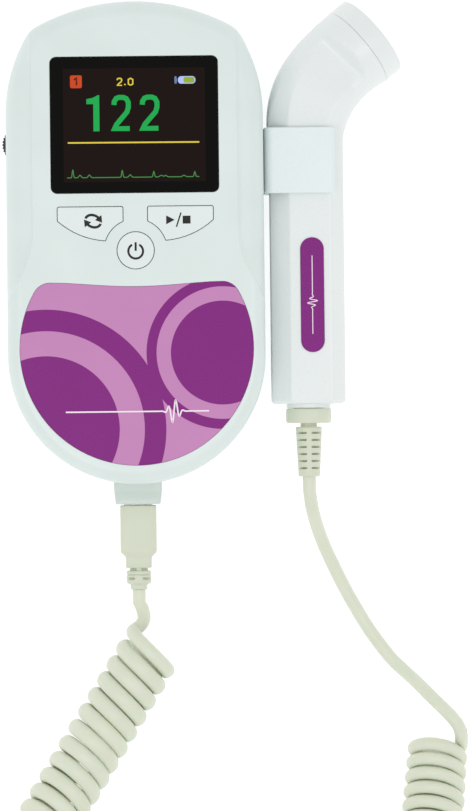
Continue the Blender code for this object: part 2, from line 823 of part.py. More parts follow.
def rear_hollow():
    """The space inside the rear shell, less the posts, the saddle and the battery well."""
    hollow = prism(
        "rear_hollow",
        case_outline(CASE_WALL),
        CASE_WALL,
        CASE_SPLIT_HEIGHT + OVERRUN,
        bottom_round=CASE_BACK_ROUND - CASE_WALL,
    )
    saddle_half = DOOR_HALF_WIDTH + TONGUE_WIDTH + GAP + DOOR_SADDLE_THICKNESS
    saddle = box(
        "saddle",
        (-saddle_half, FOOT_Y, 0),
        (saddle_half, DOOR_TOP_Y + DOOR_SADDLE_MARGIN, RECESS_Z + DOOR_SADDLE_THICKNESS),
    )
    well_half = WELL_HALF_WIDTH + WELL_WALL
    well = box(
        "well_block",
        (-well_half, WELL_FOOT_Y - WELL_WALL, CASE_WALL / 2),
        (well_half, WELL_TOP_Y + WELL_WALL, WELL_CEILING_Z + WELL_WALL),
    )
    seat = rod(
        "speaker_seat",
        SPEAKER_RADIUS + GAP + SPEAKER_SEAT_WALL,
        (0, SPEAKER_Y, CASE_WALL / 2),
        (0, SPEAKER_Y, CASE_WALL + SPEAKER_SEAT_HEIGHT),
    )
    cut(hollow, saddle, well, seat)
    for k, (x, y) in enumerate(post_places()):
        top = CASE_SPLIT_HEIGHT + 2 * OVERRUN
        cut(hollow, rod(f"post_{k}", POST_RADIUS, (x, y, CASE_WALL / 2), (x, y, top), steps=16))
    return hollow


def door_recess():
    """The slot that the battery door slides in: a plate, and a groove for its tongues."""
    plate = prism(
        "recess",
        foot_plate_outline(DOOR_HALF_WIDTH + GAP, DOOR_TOP_Y + GAP, -OVERRUN),
        -OVERRUN,
        RECESS_Z,
    )
    half = DOOR_HALF_WIDTH + TONGUE_WIDTH + GAP
    groove = box(
        "groove",
        (-half, DOOR_TOP_Y - TONGUE_LENGTH - DOOR_TRAVEL - GAP, RECESS_Z - TONGUE_THICKNESS - 2 * GAP),
        (half, DOOR_TOP_Y + GAP, RECESS_Z),
    )
    return join(plate, groove)


def rear_shell():
    """The lower half of the case."""
    shell = prism(
        "rear_shell",
        case_outline(),
        0,
        CASE_SPLIT_HEIGHT,
        case_white(),
        bottom_round=CASE_BACK_ROUND,
    )
    well = box(
        "well",
        (-WELL_HALF_WIDTH, WELL_FOOT_Y, DOOR_THICKNESS),
        (WELL_HALF_WIDTH, WELL_TOP_Y, WELL_CEILING_Z),
    )
    cut(shell, rear_hollow(), door_recess(), well)
    floor = CASE_WALL + GAP / 2
    seat_top = CASE_WALL + SPEAKER_SEAT_HEIGHT + OVERRUN
    cut(shell, rod("seat_bore", SPEAKER_RADIUS + GAP, (0, SPEAKER_Y, floor), (0, SPEAKER_Y, seat_top)))
    for k in range(GRILLE_SLOTS):
        y = SPEAKER_Y + (k - (GRILLE_SLOTS - 1) / 2) * GRILLE_PITCH
        low = (-GRILLE_SLOT_LENGTH / 2, y - GRILLE_SLOT_WIDTH / 2, -OVERRUN)
        high = (GRILLE_SLOT_LENGTH / 2, y + GRILLE_SLOT_WIDTH / 2, CASE_WALL + OVERRUN)
        cut(shell, box(f"grille_{k}", low, high))
    for k, (x, y) in enumerate(post_places()):
        seat = (x, y, SCREW_SEAT_HEIGHT)
        cut(shell, rod(f"head_bore_{k}", SCREW_HEAD_RADIUS + GAP, (x, y, -OVERRUN), seat, steps=16))
        top = (x, y, CASE_SPLIT_HEIGHT + OVERRUN)
        low = (x, y, SCREW_SEAT_HEIGHT - OVERRUN)
        cut(shell, rod(f"screw_bore_{k}", SCREW_RADIUS + GAP, low, top, steps=12))
    for k, y in enumerate(peg_places()):
        inner = (HALF_WIDTH - CASE_WALL - OVERRUN, y, PROBE_HEIGHT)
        outer = (HALF_WIDTH + OVERRUN, y, PROBE_HEIGHT)
        cut(shell, rod(f"peg_bore_{k}", PEG_RADIUS + GAP, inner, outer, steps=16))
    half_width, half_depth = SOCKET_WIDTH / 2 + GAP, SOCKET_DEPTH / 2 + GAP
    low = (-half_width, FOOT_Y - OVERRUN, SOCKET_HEIGHT - half_depth)
    high = (half_width, FOOT_Y + CASE_WALL + OVERRUN, SOCKET_HEIGHT + half_depth)
    return cut(shell, box("socket_hole", low, high))


def cheek_cutter(side):
    """A wedge over one cheek: its sloping underside starts at the crease line."""
    crease = HALF_WIDTH - CREASE_FROM_SIDE
    bend = TOP_Y - CREASE_FOOT_FROM_TOP
    end = bend - CREASE_FLARE_LENGTH
    out = HALF_WIDTH + OVERRUN
    slope = CREASE_DROP / CREASE_FROM_SIDE
    low = CASE_DEPTH - slope * (out - crease)
    high = CASE_DEPTH + OVERRUN
    head = TOP_Y + OVERRUN
    under = [
        (crease, head, CASE_DEPTH),
        (crease, bend, CASE_DEPTH),
        (out, head, low),
        (out, bend, low),
        (out, end - (out - HALF_WIDTH), CASE_DEPTH),
    ]
    above = [(crease, head, high), (crease, bend, high), (out, head, high)]
    above.append((out, end - (out - HALF_WIDTH), high))
    mesh = bpy.data.meshes.new("cheek")
    shape = bmesh.new()
    for x, y, z in under + above:
        shape.verts.new((side * x, y, z))
    bmesh.ops.convex_hull(shape, input=shape.verts)
    bmesh.ops.recalc_face_normals(shape, faces=shape.faces)
    shape.to_mesh(mesh)
    shape.free()
    return add(mesh, "cheek", dark_grey())


def front_hollow():
    """The space inside the front shell, less the four screw bosses."""
    hollow = prism(
        "front_hollow",
        case_outline(CASE_WALL),
        CASE_SPLIT_HEIGHT - OVERRUN,
        FRONT_INNER_Z,
        top_round=CASE_FRONT_ROUND - CASE_WALL,
    )
    for k, (x, y) in enumerate(post_places()):
        low, high = BOARD_TOP_Z + GAP, FRONT_INNER_Z + CASE_WALL / 2
        cut(hollow, rod(f"boss_{k}", BOSS_RADIUS, (x, y, low), (x, y, high), steps=16))
    return hollow


def wheel_slot():
    """The round pocket that the volume wheel turns in, through the left wall."""
    low = (WHEEL_X, WHEEL_Y, WHEEL_Z - WHEEL_GAP)
    high = (WHEEL_X, WHEEL_Y, WHEEL_Z + WHEEL_THICKNESS + WHEEL_GAP)
    return rod("wheel_slot", WHEEL_RADIUS + WHEEL_GAP, low, high, steps=32)


def wheel_scoop():
    """A shallow hollow in the left side, around the volume wheel."""
    x = -(HALF_WIDTH - SCOOP_DEPTH + SCOOP_RADIUS)
    low = WHEEL_Z - SCOOP_MARGIN
    high = WHEEL_Z + WHEEL_THICKNESS + SCOOP_MARGIN
    return rod("wheel_scoop", SCOOP_RADIUS, (x, WHEEL_Y, low), (x, WHEEL_Y, high), steps=32)


def front_shell():
    """The upper half of the case."""
    shell = prism(
        "front_shell",
        case_outline(),
        CASE_SPLIT_HEIGHT + GAP,
        CASE_DEPTH,
        case_white(),
        top_round=CASE_FRONT_ROUND,
    )
    cut(shell, front_hollow(), cheek_cutter(-1), cheek_cutter(1))
    top = CASE_DEPTH + OVERRUN
    middle = (0, SCREEN_Y)
    window = round_rectangle(
        SCREEN_WIDTH + 2 * GAP, SCREEN_HEIGHT + 2 * GAP, SCREEN_CORNER + GAP, middle
    )
    opening = round_rectangle(
        SCREEN_WIDTH - 2 * SCREEN_LEDGE,
        SCREEN_HEIGHT - 2 * SCREEN_LEDGE,
        SCREEN_CORNER,
        middle,
    )
    cut(shell, prism("window_recess", window, CASE_DEPTH - SCREEN_THICKNESS - GAP, top))
    cut(shell, prism("window_opening", opening, FRONT_INNER_Z - OVERRUN, top))
    panel = label_outline(-GAP)
    cut(shell, prism("panel_recess", panel, CASE_DEPTH - LABEL_THICKNESS - GAP, top))
    low = FRONT_INNER_Z - OVERRUN
    right = offset(side_key_outline(), KEY_GAP)
    cut(shell, prism("right_key_hole", right, low, top))
    cut(shell, prism("left_key_hole", flipped(right), low, top))
    centre = (0, POWER_KEY_Y)
    radius = POWER_KEY_RADIUS + KEY_GAP
    cut(shell, rod("power_key_hole", radius, (*centre, low), (*centre, top), steps=32))
    for k, (x, y) in enumerate(post_places()):
        tip = SCREW_SEAT_HEIGHT - GAP + SCREW_LENGTH + GAP
        start = (x, y, BOARD_TOP_Z - OVERRUN)
        cut(shell, rod(f"boss_bore_{k}", SCREW_RADIUS + GAP, start, (x, y, tip), steps=12))
    return cut(shell, wheel_slot(), wheel_scoop())


def case_screws():
    """Four screws that hold the case together, put in from the back."""
    for k, (x, y) in enumerate(post_places()):
        profile = [
            (0, SCREW_LENGTH),
            (SCREW_RADIUS, SCREW_LENGTH),
            (SCREW_RADIUS, 0),
            (SCREW_HEAD_RADIUS, 0),
            (SCREW_HEAD_RADIUS, -SCREW_HEAD_HEIGHT),
            (0, -SCREW_HEAD_HEIGHT),
        ]
        screw = turned(f"case_screw_{k + 1}", profile, plated_steel(), 12)
        screw.location = (x, y, SCREW_SEAT_HEIGHT - GAP)


# Screen, panel and keys


def screen_window():
    """The black window over the display."""
    outline = round_rectangle(SCREEN_WIDTH, SCREEN_HEIGHT, SCREEN_CORNER, (0, SCREEN_Y))
    return prism("screen_window", outline, CASE_DEPTH - SCREEN_THICKNESS, CASE_DEPTH, gloss_black())


def display_module():
    """The display under the window."""
    low = (-DISPLAY_WIDTH / 2, SCREEN_Y - DISPLAY_HEIGHT / 2, DISPLAY_Z)
    high = (DISPLAY_WIDTH / 2, SCREEN_Y + DISPLAY_HEIGHT / 2, DISPLAY_Z + DISPLAY_THICKNESS)
    return box("display_module", low, high, dark_grey())


def display_frame():
    """The open carrier that holds the display above the board."""
    half_width = DISPLAY_WIDTH / 2 + FRAME_MARGIN
    half_height = DISPLAY_HEIGHT / 2 + FRAME_MARGIN
    low, high = BOARD_TOP_Z + GAP, DISPLAY_Z - GAP
    frame = box(
        "display_frame",
        (-half_width, SCREEN_Y - half_height, low),
        (half_width, SCREEN_Y + half_height, high),
        case_white(),
    )
    inner = box(
        "frame_hole",
        (FRAME_WALL - half_width, SCREEN_Y - half_height + FRAME_WALL, low - OVERRUN),
        (half_width - FRAME_WALL, SCREEN_Y + half_height - FRAME_WALL, high + OVERRUN),
    )
    return cut(frame, inner)


def label_panel():
    """The printed film below the keys."""
    return prism(
        "label_panel", label_outline(), CASE_DEPTH - LABEL_THICKNESS, CASE_DEPTH, panel_pink()
    )


def key(name, outline, centre):
    """A key: its cap, the flange that keeps it in and a stem that reaches down to its switch."""
    under = KEY_FLANGE_Z + KEY_FLANGE_THICKNESS
    stem_low = SWITCH_Z + SWITCH_HEIGHT + SWITCH_PLUNGER_HEIGHT + KEY_TRAVEL + KEY_PRESS_ROOM
    cap = prism(name, outline, KEY_FLANGE_Z + GAP, CASE_DEPTH + KEY_PROUD, key_white())
    flange = prism("flange_" + name, offset(outline, KEY_FLANGE), KEY_FLANGE_Z, under)
    stem = rod(
        "stem_" + name,
        KEY_STEM_RADIUS,
        (*centre, stem_low),
        (*centre, under - GAP),
        steps=12,
    )
    join(cap, flange, stem)
    return set_origin(cap, (*centre, CASE_DEPTH))


def tact_switch(name, centre):
    """A low square switch with a round plunger."""
    half = SWITCH_WIDTH / 2
    top = SWITCH_Z + SWITCH_HEIGHT
    body = box(
        name,
        (centre[0] - half, centre[1] - half, SWITCH_Z),
        (centre[0] + half, centre[1] + half, top),
        dark_grey(),
    )
    plunger = rod(
        "plunger_" + name,
        SWITCH_PLUNGER_RADIUS,
        (*centre, top - SWITCH_HEIGHT / 2),
        (*centre, top + SWITCH_PLUNGER_HEIGHT),
        steps=12,
    )
    return join(body, plunger)


def keys():
    """The three keys and the three switches under them."""
    side = (KEY_STEM_FROM_MIDDLE, KEY_STEM_Y)
    right = side_key_outline()
    power = arc((0, POWER_KEY_Y), POWER_KEY_RADIUS, 0, 2 * math.pi, 32)[:-1]
    plans = (
        ("mode", flipped(right), (-side[0], side[1])),
        ("play", right, side),
        ("power", power, (0, POWER_KEY_Y)),
    )
    for name, outline, centre in plans:
        key(name + "_key", outline, centre)
        tact_switch(name + "_switch", centre)


# Inside of the monitor


def main_board():
    """The circuit board, clamped between the posts and the bosses."""
    board = prism(
        "main_board",
        case_outline(CASE_WALL + BOARD_MARGIN),
        BOARD_Z,
        BOARD_TOP_Z,
        board_green(),
    )
    for k, (x, y) in enumerate(post_places()):
        low, high = BOARD_Z - OVERRUN, BOARD_TOP_Z + OVERRUN
        cut(board, rod(f"board_hole_{k}", SCREW_RADIUS + GAP, (x, y, low), (x, y, high), steps=12))
    return board


def volume_control():
    """The thumbwheel and the rotary control that carries it."""
    low = BOARD_TOP_Z + GAP
    shaft_top = WHEEL_Z + WHEEL_THICKNESS
    inner = -(HALF_WIDTH - CASE_WALL - GAP)
    pot = box(
        "volume_pot",
        (inner, WHEEL_Y - POT_WIDTH / 2, low),
        (inner + POT_WIDTH, WHEEL_Y + POT_WIDTH / 2, low + POT_HEIGHT),
        dark_grey(),
    )
    foot = (WHEEL_X, WHEEL_Y, low + POT_HEIGHT / 2)
    join(pot, rod("shaft", WHEEL_SHAFT_RADIUS, foot, (WHEEL_X, WHEEL_Y, shaft_top), steps=16))
    rim = []
    for k in range(2 * KNURLS):
        radius = WHEEL_RADIUS - WHEEL_KNURL_DEPTH * (k % 2)
        angle = math.pi * k / KNURLS
        rim.append((WHEEL_X + radius * math.cos(angle), WHEEL_Y + radius * math.sin(angle)))
    wheel = prism("volume_wheel", rim, WHEEL_Z, shaft_top, dark_grey())
    start = (WHEEL_X, WHEEL_Y, WHEEL_Z - OVERRUN)
    end = (WHEEL_X, WHEEL_Y, shaft_top + OVERRUN)
    cut(wheel, rod("wheel_bore", WHEEL_SHAFT_RADIUS + GAP, start, end, steps=16))
    return set_origin(wheel, (WHEEL_X, WHEEL_Y, WHEEL_Z))


def speaker():
    """The loudspeaker, its magnet up, in its seat behind the grille."""
    profile = [
        (0, SPEAKER_HEIGHT),
        (SPEAKER_MAGNET_RADIUS, SPEAKER_HEIGHT),
        (SPEAKER_MAGNET_RADIUS, SPEAKER_RIM_HEIGHT),
        (SPEAKER_RADIUS, SPEAKER_RIM_HEIGHT),
        (SPEAKER_RADIUS, 0),
        (0, 0),
    ]
    item = turned("speaker", profile, dark_grey())
    item.location = (0, SPEAKER_Y, CASE_WALL + GAP)
    return item


def battery_cells():
    """Two cells side by side, one pointing up the case and one down."""
    body = CELL_LENGTH - CELL_NUB_HEIGHT
    profile = [
        (0, CELL_LENGTH),
        (CELL_NUB_RADIUS, CELL_LENGTH),
        (CELL_NUB_RADIUS, body),
        (CELL_RADIUS, body),
        (CELL_RADIUS, 0),
        (0, 0),
    ]
    low, high = WELL_FOOT_Y + CONTACT_ROOM, WELL_TOP_Y - CONTACT_ROOM
    quarter = math.pi / 2
    left = turned("battery_cell_left", profile, plated_steel())
    point_along(left, (-CELL_X, low, CELL_Z), (-quarter, 0, 0))
    right = turned("battery_cell_right", profile, plated_steel())
    point_along(right, (CELL_X, high, CELL_Z), (quarter, 0, 0))


def contact(name, centres, wall, inward):
    """A sprung contact plate with a tapered bump for each cell that it meets."""
    near = wall + inward * GAP
    far = near + inward * CONTACT_THICKNESS
    tip = wall + inward * (CONTACT_ROOM - GAP)
    half = CONTACT_WIDTH / 2
    low = (min(centres) - half, min(near, far), CELL_Z - half)
    high = (max(centres) + half, max(near, far), CELL_Z + half)
    plate = box(name, low, high, plated_steel())
    for k, x in enumerate(centres):
        start = (x, (near + far) / 2, CELL_Z)
        bump = rod(
            f"bump_{k}_{name}",
            CONTACT_NUB_RADIUS,
            start,
            (x, tip, CELL_Z),
            steps=12,
            end_radius=CONTACT_NUB_TIP_RADIUS,
        )
        join(plate, bump)
    return plate


def contacts():
    """The contacts at both ends of the battery well."""
    contact("contact_link", (-CELL_X, CELL_X), WELL_TOP_Y, -1)
    contact("contact_negative", (-CELL_X,), WELL_FOOT_Y, 1)
    contact("contact_positive", (CELL_X,), WELL_FOOT_Y, 1)


def battery_door():
    """The sliding cover on the back, trimmed to the round foot of the case."""
    door = prism(
        "battery_door",
        foot_plate_outline(DOOR_HALF_WIDTH, DOOR_TOP_Y),
        -OVERRUN,
        DOOR_THICKNESS,
        case_white(),
    )
    half = DOOR_HALF_WIDTH + TONGUE_WIDTH
    low = (-half, DOOR_TOP_Y - TONGUE_LENGTH, DOOR_THICKNESS - TONGUE_THICKNESS)
    join(door, box("tongues", low, (half, DOOR_TOP_Y, DOOR_THICKNESS)))
    limit = prism(
        "door_limit",
        case_outline(),
        0,
        CASE_SPLIT_HEIGHT,
        bottom_round=CASE_BACK_ROUND,
    )
    combine(door, limit, "INTERSECT")
    return set_origin(door, (0, DOOR_TOP_Y, 0))


# Socket and plug


def socket():
    """The socket insert and the white housing round its mouth."""
    half_width, half_depth = SOCKET_WIDTH / 2, SOCKET_DEPTH / 2
    insert = box(
        "socket_insert",
        (-half_width, SOCKET_OUTER_Y, SOCKET_HEIGHT - half_depth),
        (half_width, SOCKET_INNER_Y, SOCKET_HEIGHT + half_depth),
        dark_grey(),
    )
    mouth_width, mouth_depth = NOSE_WIDTH / 2 + GAP, NOSE_DEPTH / 2 + GAP
    mouth_end = PLUG_FACE_Y + NOSE_LENGTH + GAP
    mouth = box(
        "mouth",
        (-mouth_width, SOCKET_OUTER_Y - OVERRUN, SOCKET_HEIGHT - mouth_depth),
        (mouth_width, mouth_end, SOCKET_HEIGHT + mouth_depth),
    )
    cut(insert, mouth)
    root_y = FOOT_Y + CASE_WALL
    outline = [
        (HOUSING_END_WIDTH / 2, HOUSING_END_Y),
        (HOUSING_WIDTH / 2, FOOT_Y),
        (HOUSING_WIDTH / 2, root_y),
        (-HOUSING_WIDTH / 2, root_y),
        (-HOUSING_WIDTH / 2, FOOT_Y),
        (-HOUSING_END_WIDTH / 2, HOUSING_END_Y),
    ]
    housing = prism(
        "socket_housing",
        outline,
        SOCKET_HEIGHT - HOUSING_DEPTH / 2,
        SOCKET_HEIGHT + HOUSING_DEPTH / 2,
        case_white(),
        bottom_round=HOUSING_ROUND,
        top_round=HOUSING_ROUND,
    )
    bore_width, bore_depth = half_width + GAP, half_depth + GAP
    bore = box(
        "housing_bore",
        (-bore_width, HOUSING_END_Y - OVERRUN, SOCKET_HEIGHT - bore_depth),
        (bore_width, root_y + OVERRUN, SOCKET_HEIGHT + bore_depth),
    )
    case = prism("housing_limit", case_outline(-GAP), -OVERRUN, CASE_DEPTH + OVERRUN)
    return cut(housing, case, bore)


def plug():
    """The plug: its nose in the socket, its moulded body and its strain relief."""
    half_width, half_neck = PLUG_WIDTH / 2, PLUG_NECK_WIDTH / 2
    shoulder_y = PLUG_FACE_Y - PLUG_LENGTH
    outline = [
        (half_width, PLUG_FACE_Y),
        (-half_width, PLUG_FACE_Y),
        (-half_width, shoulder_y),
        (-half_neck, PLUG_NECK_Y),
        (-half_neck, PLUG_END_Y),
        (half_neck, PLUG_END_Y),
        (half_neck, PLUG_NECK_Y),
        (half_width, shoulder_y),
    ]
    body = prism(
        "plug_body",
        outline,
        SOCKET_HEIGHT - PLUG_DEPTH / 2,
        SOCKET_HEIGHT + PLUG_DEPTH / 2,
        cord_cream(),
        bottom_round=PLUG_ROUND,
        top_round=PLUG_ROUND,
    )
    root_y = PLUG_FACE_Y - NOSE_ROOT_LENGTH
    width, depth = NOSE_WIDTH / 2, NOSE_DEPTH / 2
    pocket = box(
        "nose_pocket",
        (-width - GAP, root_y - GAP, SOCKET_HEIGHT - depth - GAP),
        (width + GAP, PLUG_FACE_Y + OVERRUN, SOCKET_HEIGHT + depth + GAP),
    )
    cut(body, pocket)
    tip_y = PLUG_FACE_Y + NOSE_LENGTH
    nose = box(
        "plug_shell",
        (-width, root_y, SOCKET_HEIGHT - depth),
        (width, tip_y, SOCKET_HEIGHT + depth),
        plated_steel(),
    )
    low = (NOSE_WALL - width, tip_y - NOSE_MOUTH_LENGTH, SOCKET_HEIGHT - depth + NOSE_WALL)
    high = (width - NOSE_WALL, tip_y + OVERRUN, SOCKET_HEIGHT + depth - NOSE_WALL)
    cut(nose, box("nose_mouth", low, high))
    boot = turned("plug_boot", plug_boot_profile(), cord_cream(), 20)
    point_along(boot, (0, PLUG_END_Y - GAP, SOCKET_HEIGHT), (math.pi / 2, 0, 0))
    carry(guide_empty("plug_slide", (0, PLUG_FACE_Y, SOCKET_HEIGHT)), body, nose, boot)


def plug_boot_profile():
    """The plug's strain relief: a waist, two rings with a groove, and a taper."""
    lengths = (
        (PLUG_BOOT_WAIST_RADIUS, PLUG_BOOT_NECK_LENGTH),
        (PLUG_BOOT_RADIUS, PLUG_BOOT_RING_LENGTH),
        (PLUG_BOOT_WAIST_RADIUS, PLUG_BOOT_GROOVE_LENGTH),
        (PLUG_BOOT_RADIUS, PLUG_BOOT_RING_LENGTH),
    )
    rising, height = [], 0.0
    for radius, length in lengths:
        rising += [(radius, height), (radius, height + length)]
        height += length
    tip = height + PLUG_BOOT_TAPER_LENGTH
    rising += [(CORD_RADIUS + GAP / 2, tip), (0, tip)]
    return list(reversed(rising)) + [(0, 0)]


# Probe holder


def holder_outline():
    """The holder across its length, as X and Z: a C open to the right."""
    half = PROBE_WIDTH / 2 + GAP
    outer = half + HOLDER_ARM
    end_x = HOLDER_X + HOLDER_REACH
    web_x = HOLDER_X + HOLDER_WEB
    radius, inner = HOLDER_ROUND, HOLDER_ROUND - HOLDER_WEB
    quarter = math.pi / 2
    z = PROBE_HEIGHT
    right = arc((end_x - HOLDER_LIP, z + outer - HOLDER_LIP), HOLDER_LIP, 0, quarter, 2)
    left = arc((HOLDER_X + radius, z + outer - radius), radius, quarter, 2 * quarter, 4)
    upper = [(end_x, z + half)] + right + left
    inside = arc((web_x + inner, z + half - inner), inner, quarter, 2 * quarter, 3)
    lower = [(x, 2 * z - y) for x, y in reversed(upper)]
    inside_lower = [(x, 2 * z - y) for x, y in inside]
    return upper + lower + inside_lower + list(reversed(inside))


def probe_holder():
    """The C-shaped holder and the two pegs that reach into the case."""
    outline = holder_outline()
    holder = prism(
        "probe_holder", outline, -HOLDER_LENGTH / 2, HOLDER_LENGTH / 2, case_white()
    )
    holder.rotation_euler = (math.pi / 2, 0, 0)
    holder.location = (0, HOLDER_Y, 0)
    inner_x = HALF_WIDTH - CASE_WALL - PEG_PROUD
    for k, y in enumerate(peg_places()):
        root = (HOLDER_X + HOLDER_WEB / 2, y, PROBE_HEIGHT)
        join(holder, rod(f"peg_{k}", PEG_RADIUS, (inner_x, y, PROBE_HEIGHT), root, steps=16))
    for k, y in enumerate(peg_places()):
        start = (inner_x - OVERRUN, y, PROBE_HEIGHT)
        end = (inner_x + PEG_SCREW_LENGTH, y, PROBE_HEIGHT)
        cut(holder, rod(f"peg_hole_{k}", PEG_SCREW_RADIUS + GAP, start, end, steps=12))
    return holder


def holder_screws():
    """Two screws from inside the case into the holder's pegs."""
    profile = [
        (0, PEG_SCREW_LENGTH),
        (PEG_SCREW_RADIUS, PEG_SCREW_LENGTH),
        (PEG_SCREW_RADIUS, 0),
        (PEG_SCREW_HEAD_RADIUS, 0),
        (PEG_SCREW_HEAD_RADIUS, -PEG_SCREW_HEAD_HEIGHT),
        (0, -PEG_SCREW_HEAD_HEIGHT),
    ]
    seat_x = HALF_WIDTH - CASE_WALL - PEG_PROUD - GAP
    for k, y in enumerate(peg_places()):
        screw = turned(f"holder_screw_{k + 1}", profile, plated_steel(), 16)
        point_along(screw, (seat_x, y, PROBE_HEIGHT), (0, math.pi / 2, 0))


# Probe


def bezier(points, steps):
    """Points on a cubic curve from its four control points."""
    t = np.linspace(0, 1, steps + 1)[:, None]
    a, b, c, d = (np.array(point, float) for point in points)
    return a * (1 - t) ** 3 + 3 * b * t * (1 - t) ** 2 + 3 * c * t**2 * (1 - t) + d * t**3


def head_radius(inset):
    """The head's radius outside, or inside where the probe is inset by its wall."""
    return HEAD_RADIUS - (HEAD_WALL if inset else 0.0)


def bend_edges(inset=0.0):
    """The two sides of the bend, from the straight handle to the head's seam."""
    half = PROBE_WIDTH / 2 - inset
    head = head_radius(inset)
    left, right = PROBE_X - half, PROBE_X + half
    outer_y, inner_y = HOLDER_Y + BEND_OUTER_START, HOLDER_Y + BEND_INNER_START
    seam = np.array(HEAD_CENTRE)[:2]
    across, along = np.array(HEAD_ACROSS)[:2], np.array(HEAD_WAY)[:2]
    flare = np.array((math.sin(BEND_INNER_ANGLE), math.cos(BEND_INNER_ANGLE)))
    outer_end, inner_end = seam - across * head, seam + across * head
    outer = bezier(
        (
            (left, outer_y),
            (left, outer_y + BEND_OUTER_RISE),
            outer_end - along * BEND_OUTER_REACH,
            outer_end,
        ),
        BEND_STEPS,
    )
    inner = bezier(
        (
            (right, inner_y),
            (right, inner_y + BEND_INNER_RISE),
            inner_end - flare * BEND_INNER_REACH,
            inner_end,
        ),
        BEND_STEPS,
    )
    return outer, inner


def section(half_depth, inset, roundness):
    """A closed ring of across and up shares of the half width, blended to a circle."""
    half = PROBE_WIDTH / 2 - inset
    flat = (PROBE_FLAT / 2 - inset * math.tan(math.pi / 8)) / half
    middle = (1 + flat) / 2
    corner = [(1, 0), (1, flat), (middle, middle), (flat, 1)]
    ring = []
    for quarter in range(4):
        for k, (x, z) in enumerate(corner):
            angle = math.pi / 8 * k
            x = x * (1 - roundness) + math.cos(angle) * roundness
            z = z * (1 - roundness) + math.sin(angle) * roundness
            turn = math.pi / 2 * quarter
            across = x * math.cos(turn) - z * math.sin(turn)
            up = x * math.sin(turn) + z * math.cos(turn)
            ring.append((across, up * half_depth))
    return ring


def probe_ring(outer, inner, half_depth, inset, roundness):
    """A ring of the probe between a point on its outer side and one on its inner side.

    Near the head it leans back, its front forward along the head's way, as the face does.
    """
    outer, inner = np.array(outer, float), np.array(inner, float)
    middle, half = (outer + inner) / 2, (inner - outer) / 2
    way = np.array(HEAD_WAY)[:2]
    ring = []
    for across, up in section(half_depth, inset, roundness):
        x, y = middle + half * across + way * up * math.sin(HEAD_TILT) * roundness
        height = up * (1 - (1 - math.cos(HEAD_TILT)) * roundness)
        ring.append((x, y, PROBE_HEIGHT + height))
    return ring


def smooth_step(share):
    """Eases a share from 0 to 1."""
    share = min(max(share, 0.0), 1.0)
    return share * share * (3 - 2 * share)


def probe_solid(name, inset, foot_y, chamfer, past_seam):
    """The handle, the bend and the head as one skinned solid."""
    half = PROBE_WIDTH / 2 - inset
    rings = []
    for y, draw_in in ((foot_y, chamfer), (foot_y + chamfer, 0.0)):
        if rings and not chamfer:
            continue
        left, right = (PROBE_X - half + draw_in, y), (PROBE_X + half - draw_in, y)
        rings.append(probe_ring(left, right, half - draw_in, inset, 0.0))
    outer, inner = bend_edges(inset)
    head = head_radius(inset)
    for k in range(BEND_STEPS + 1):
        share = k / BEND_STEPS
        depth = half + (head - half) * smooth_step(share)
        rings.append(probe_ring(outer[k], inner[k], depth, inset, smooth_step(share)))
    if past_seam:
        shift = np.array(HEAD_WAY)[:2] * past_seam
        rings.append(probe_ring(outer[-1] + shift, inner[-1] + shift, head, inset, 1.0))
    return loft(name, rings, case_white())


def probe_half(name, low, high):
    """Half of the hollow probe, between two heights."""
    shell = probe_solid(name, 0.0, PROBE_FOOT_Y, PROBE_FOOT_CHAMFER, 0.0)
    reach = PROBE_WIDTH + HEAD_DIAMETER
    slab = box(
        "slab_" + name,
        (PROBE_X - reach, PROBE_FOOT_Y - reach, low),
        (PROBE_X + reach, HOLDER_Y + HEAD_RISE + reach, high),
    )
    combine(shell, slab, "INTERSECT")
    hollow = probe_solid(
        "hollow_" + name, PROBE_WALL, PROBE_FOOT_Y + PROBE_WALL, 0.0, OVERRUN
    )
    neck = rod(
        "neck_" + name,
        COLLAR_NECK_RADIUS + GAP,
        (PROBE_X, PROBE_FOOT_Y - OVERRUN, PROBE_HEIGHT),
        (PROBE_X, PROBE_FOOT_Y + PROBE_WALL + OVERRUN, PROBE_HEIGHT),
        steps=16,
    )
    return cut(shell, hollow, neck)


def pill_outline(margin=0.0):
    """The long label on the handle's front."""
    centre = (PROBE_X + PILL_OFFSET, PROBE_FOOT_Y + PILL_FROM_FOOT)
    width, length = PILL_WIDTH + 2 * margin, PILL_LENGTH + 2 * margin
    return round_rectangle(width, length, width / 2 - GAP / 10, centre, 6)


def probe_shells():
    """The two halves of the probe, the rear one with ribs under its board."""
    reach = PROBE_WIDTH + HEAD_DIAMETER
    front = probe_half("probe_front_shell", PROBE_HEIGHT + GAP / 2, PROBE_HEIGHT + reach)
    low = PROBE_FRONT_Z - PILL_RECESS
    cut(front, prism("pill_recess", pill_outline(GAP), low, PROBE_FRONT_Z + OVERRUN))
    rear = probe_half("probe_rear_shell", PROBE_HEIGHT - reach, PROBE_HEIGHT - GAP / 2)
    floor = PROBE_HEIGHT - PROBE_WIDTH / 2 + PROBE_WALL / 2
    top = PROBE_HEIGHT - PROBE_BOARD_DROP - PROBE_BOARD_THICKNESS / 2 - GAP
    half = PROBE_BOARD_WIDTH / 2 - PROBE_RIB_THICKNESS
    start = PROBE_FOOT_Y + PROBE_BOARD_FROM_FOOT
    for k, share in enumerate(PROBE_RIB_SHARES):
        y = start + PROBE_BOARD_LENGTH * share
        thick = PROBE_RIB_THICKNESS / 2
        rib = box(f"rib_{k}", (PROBE_X - half, y - thick, floor), (PROBE_X + half, y + thick, top))
        join(rear, rib)
    return front, rear


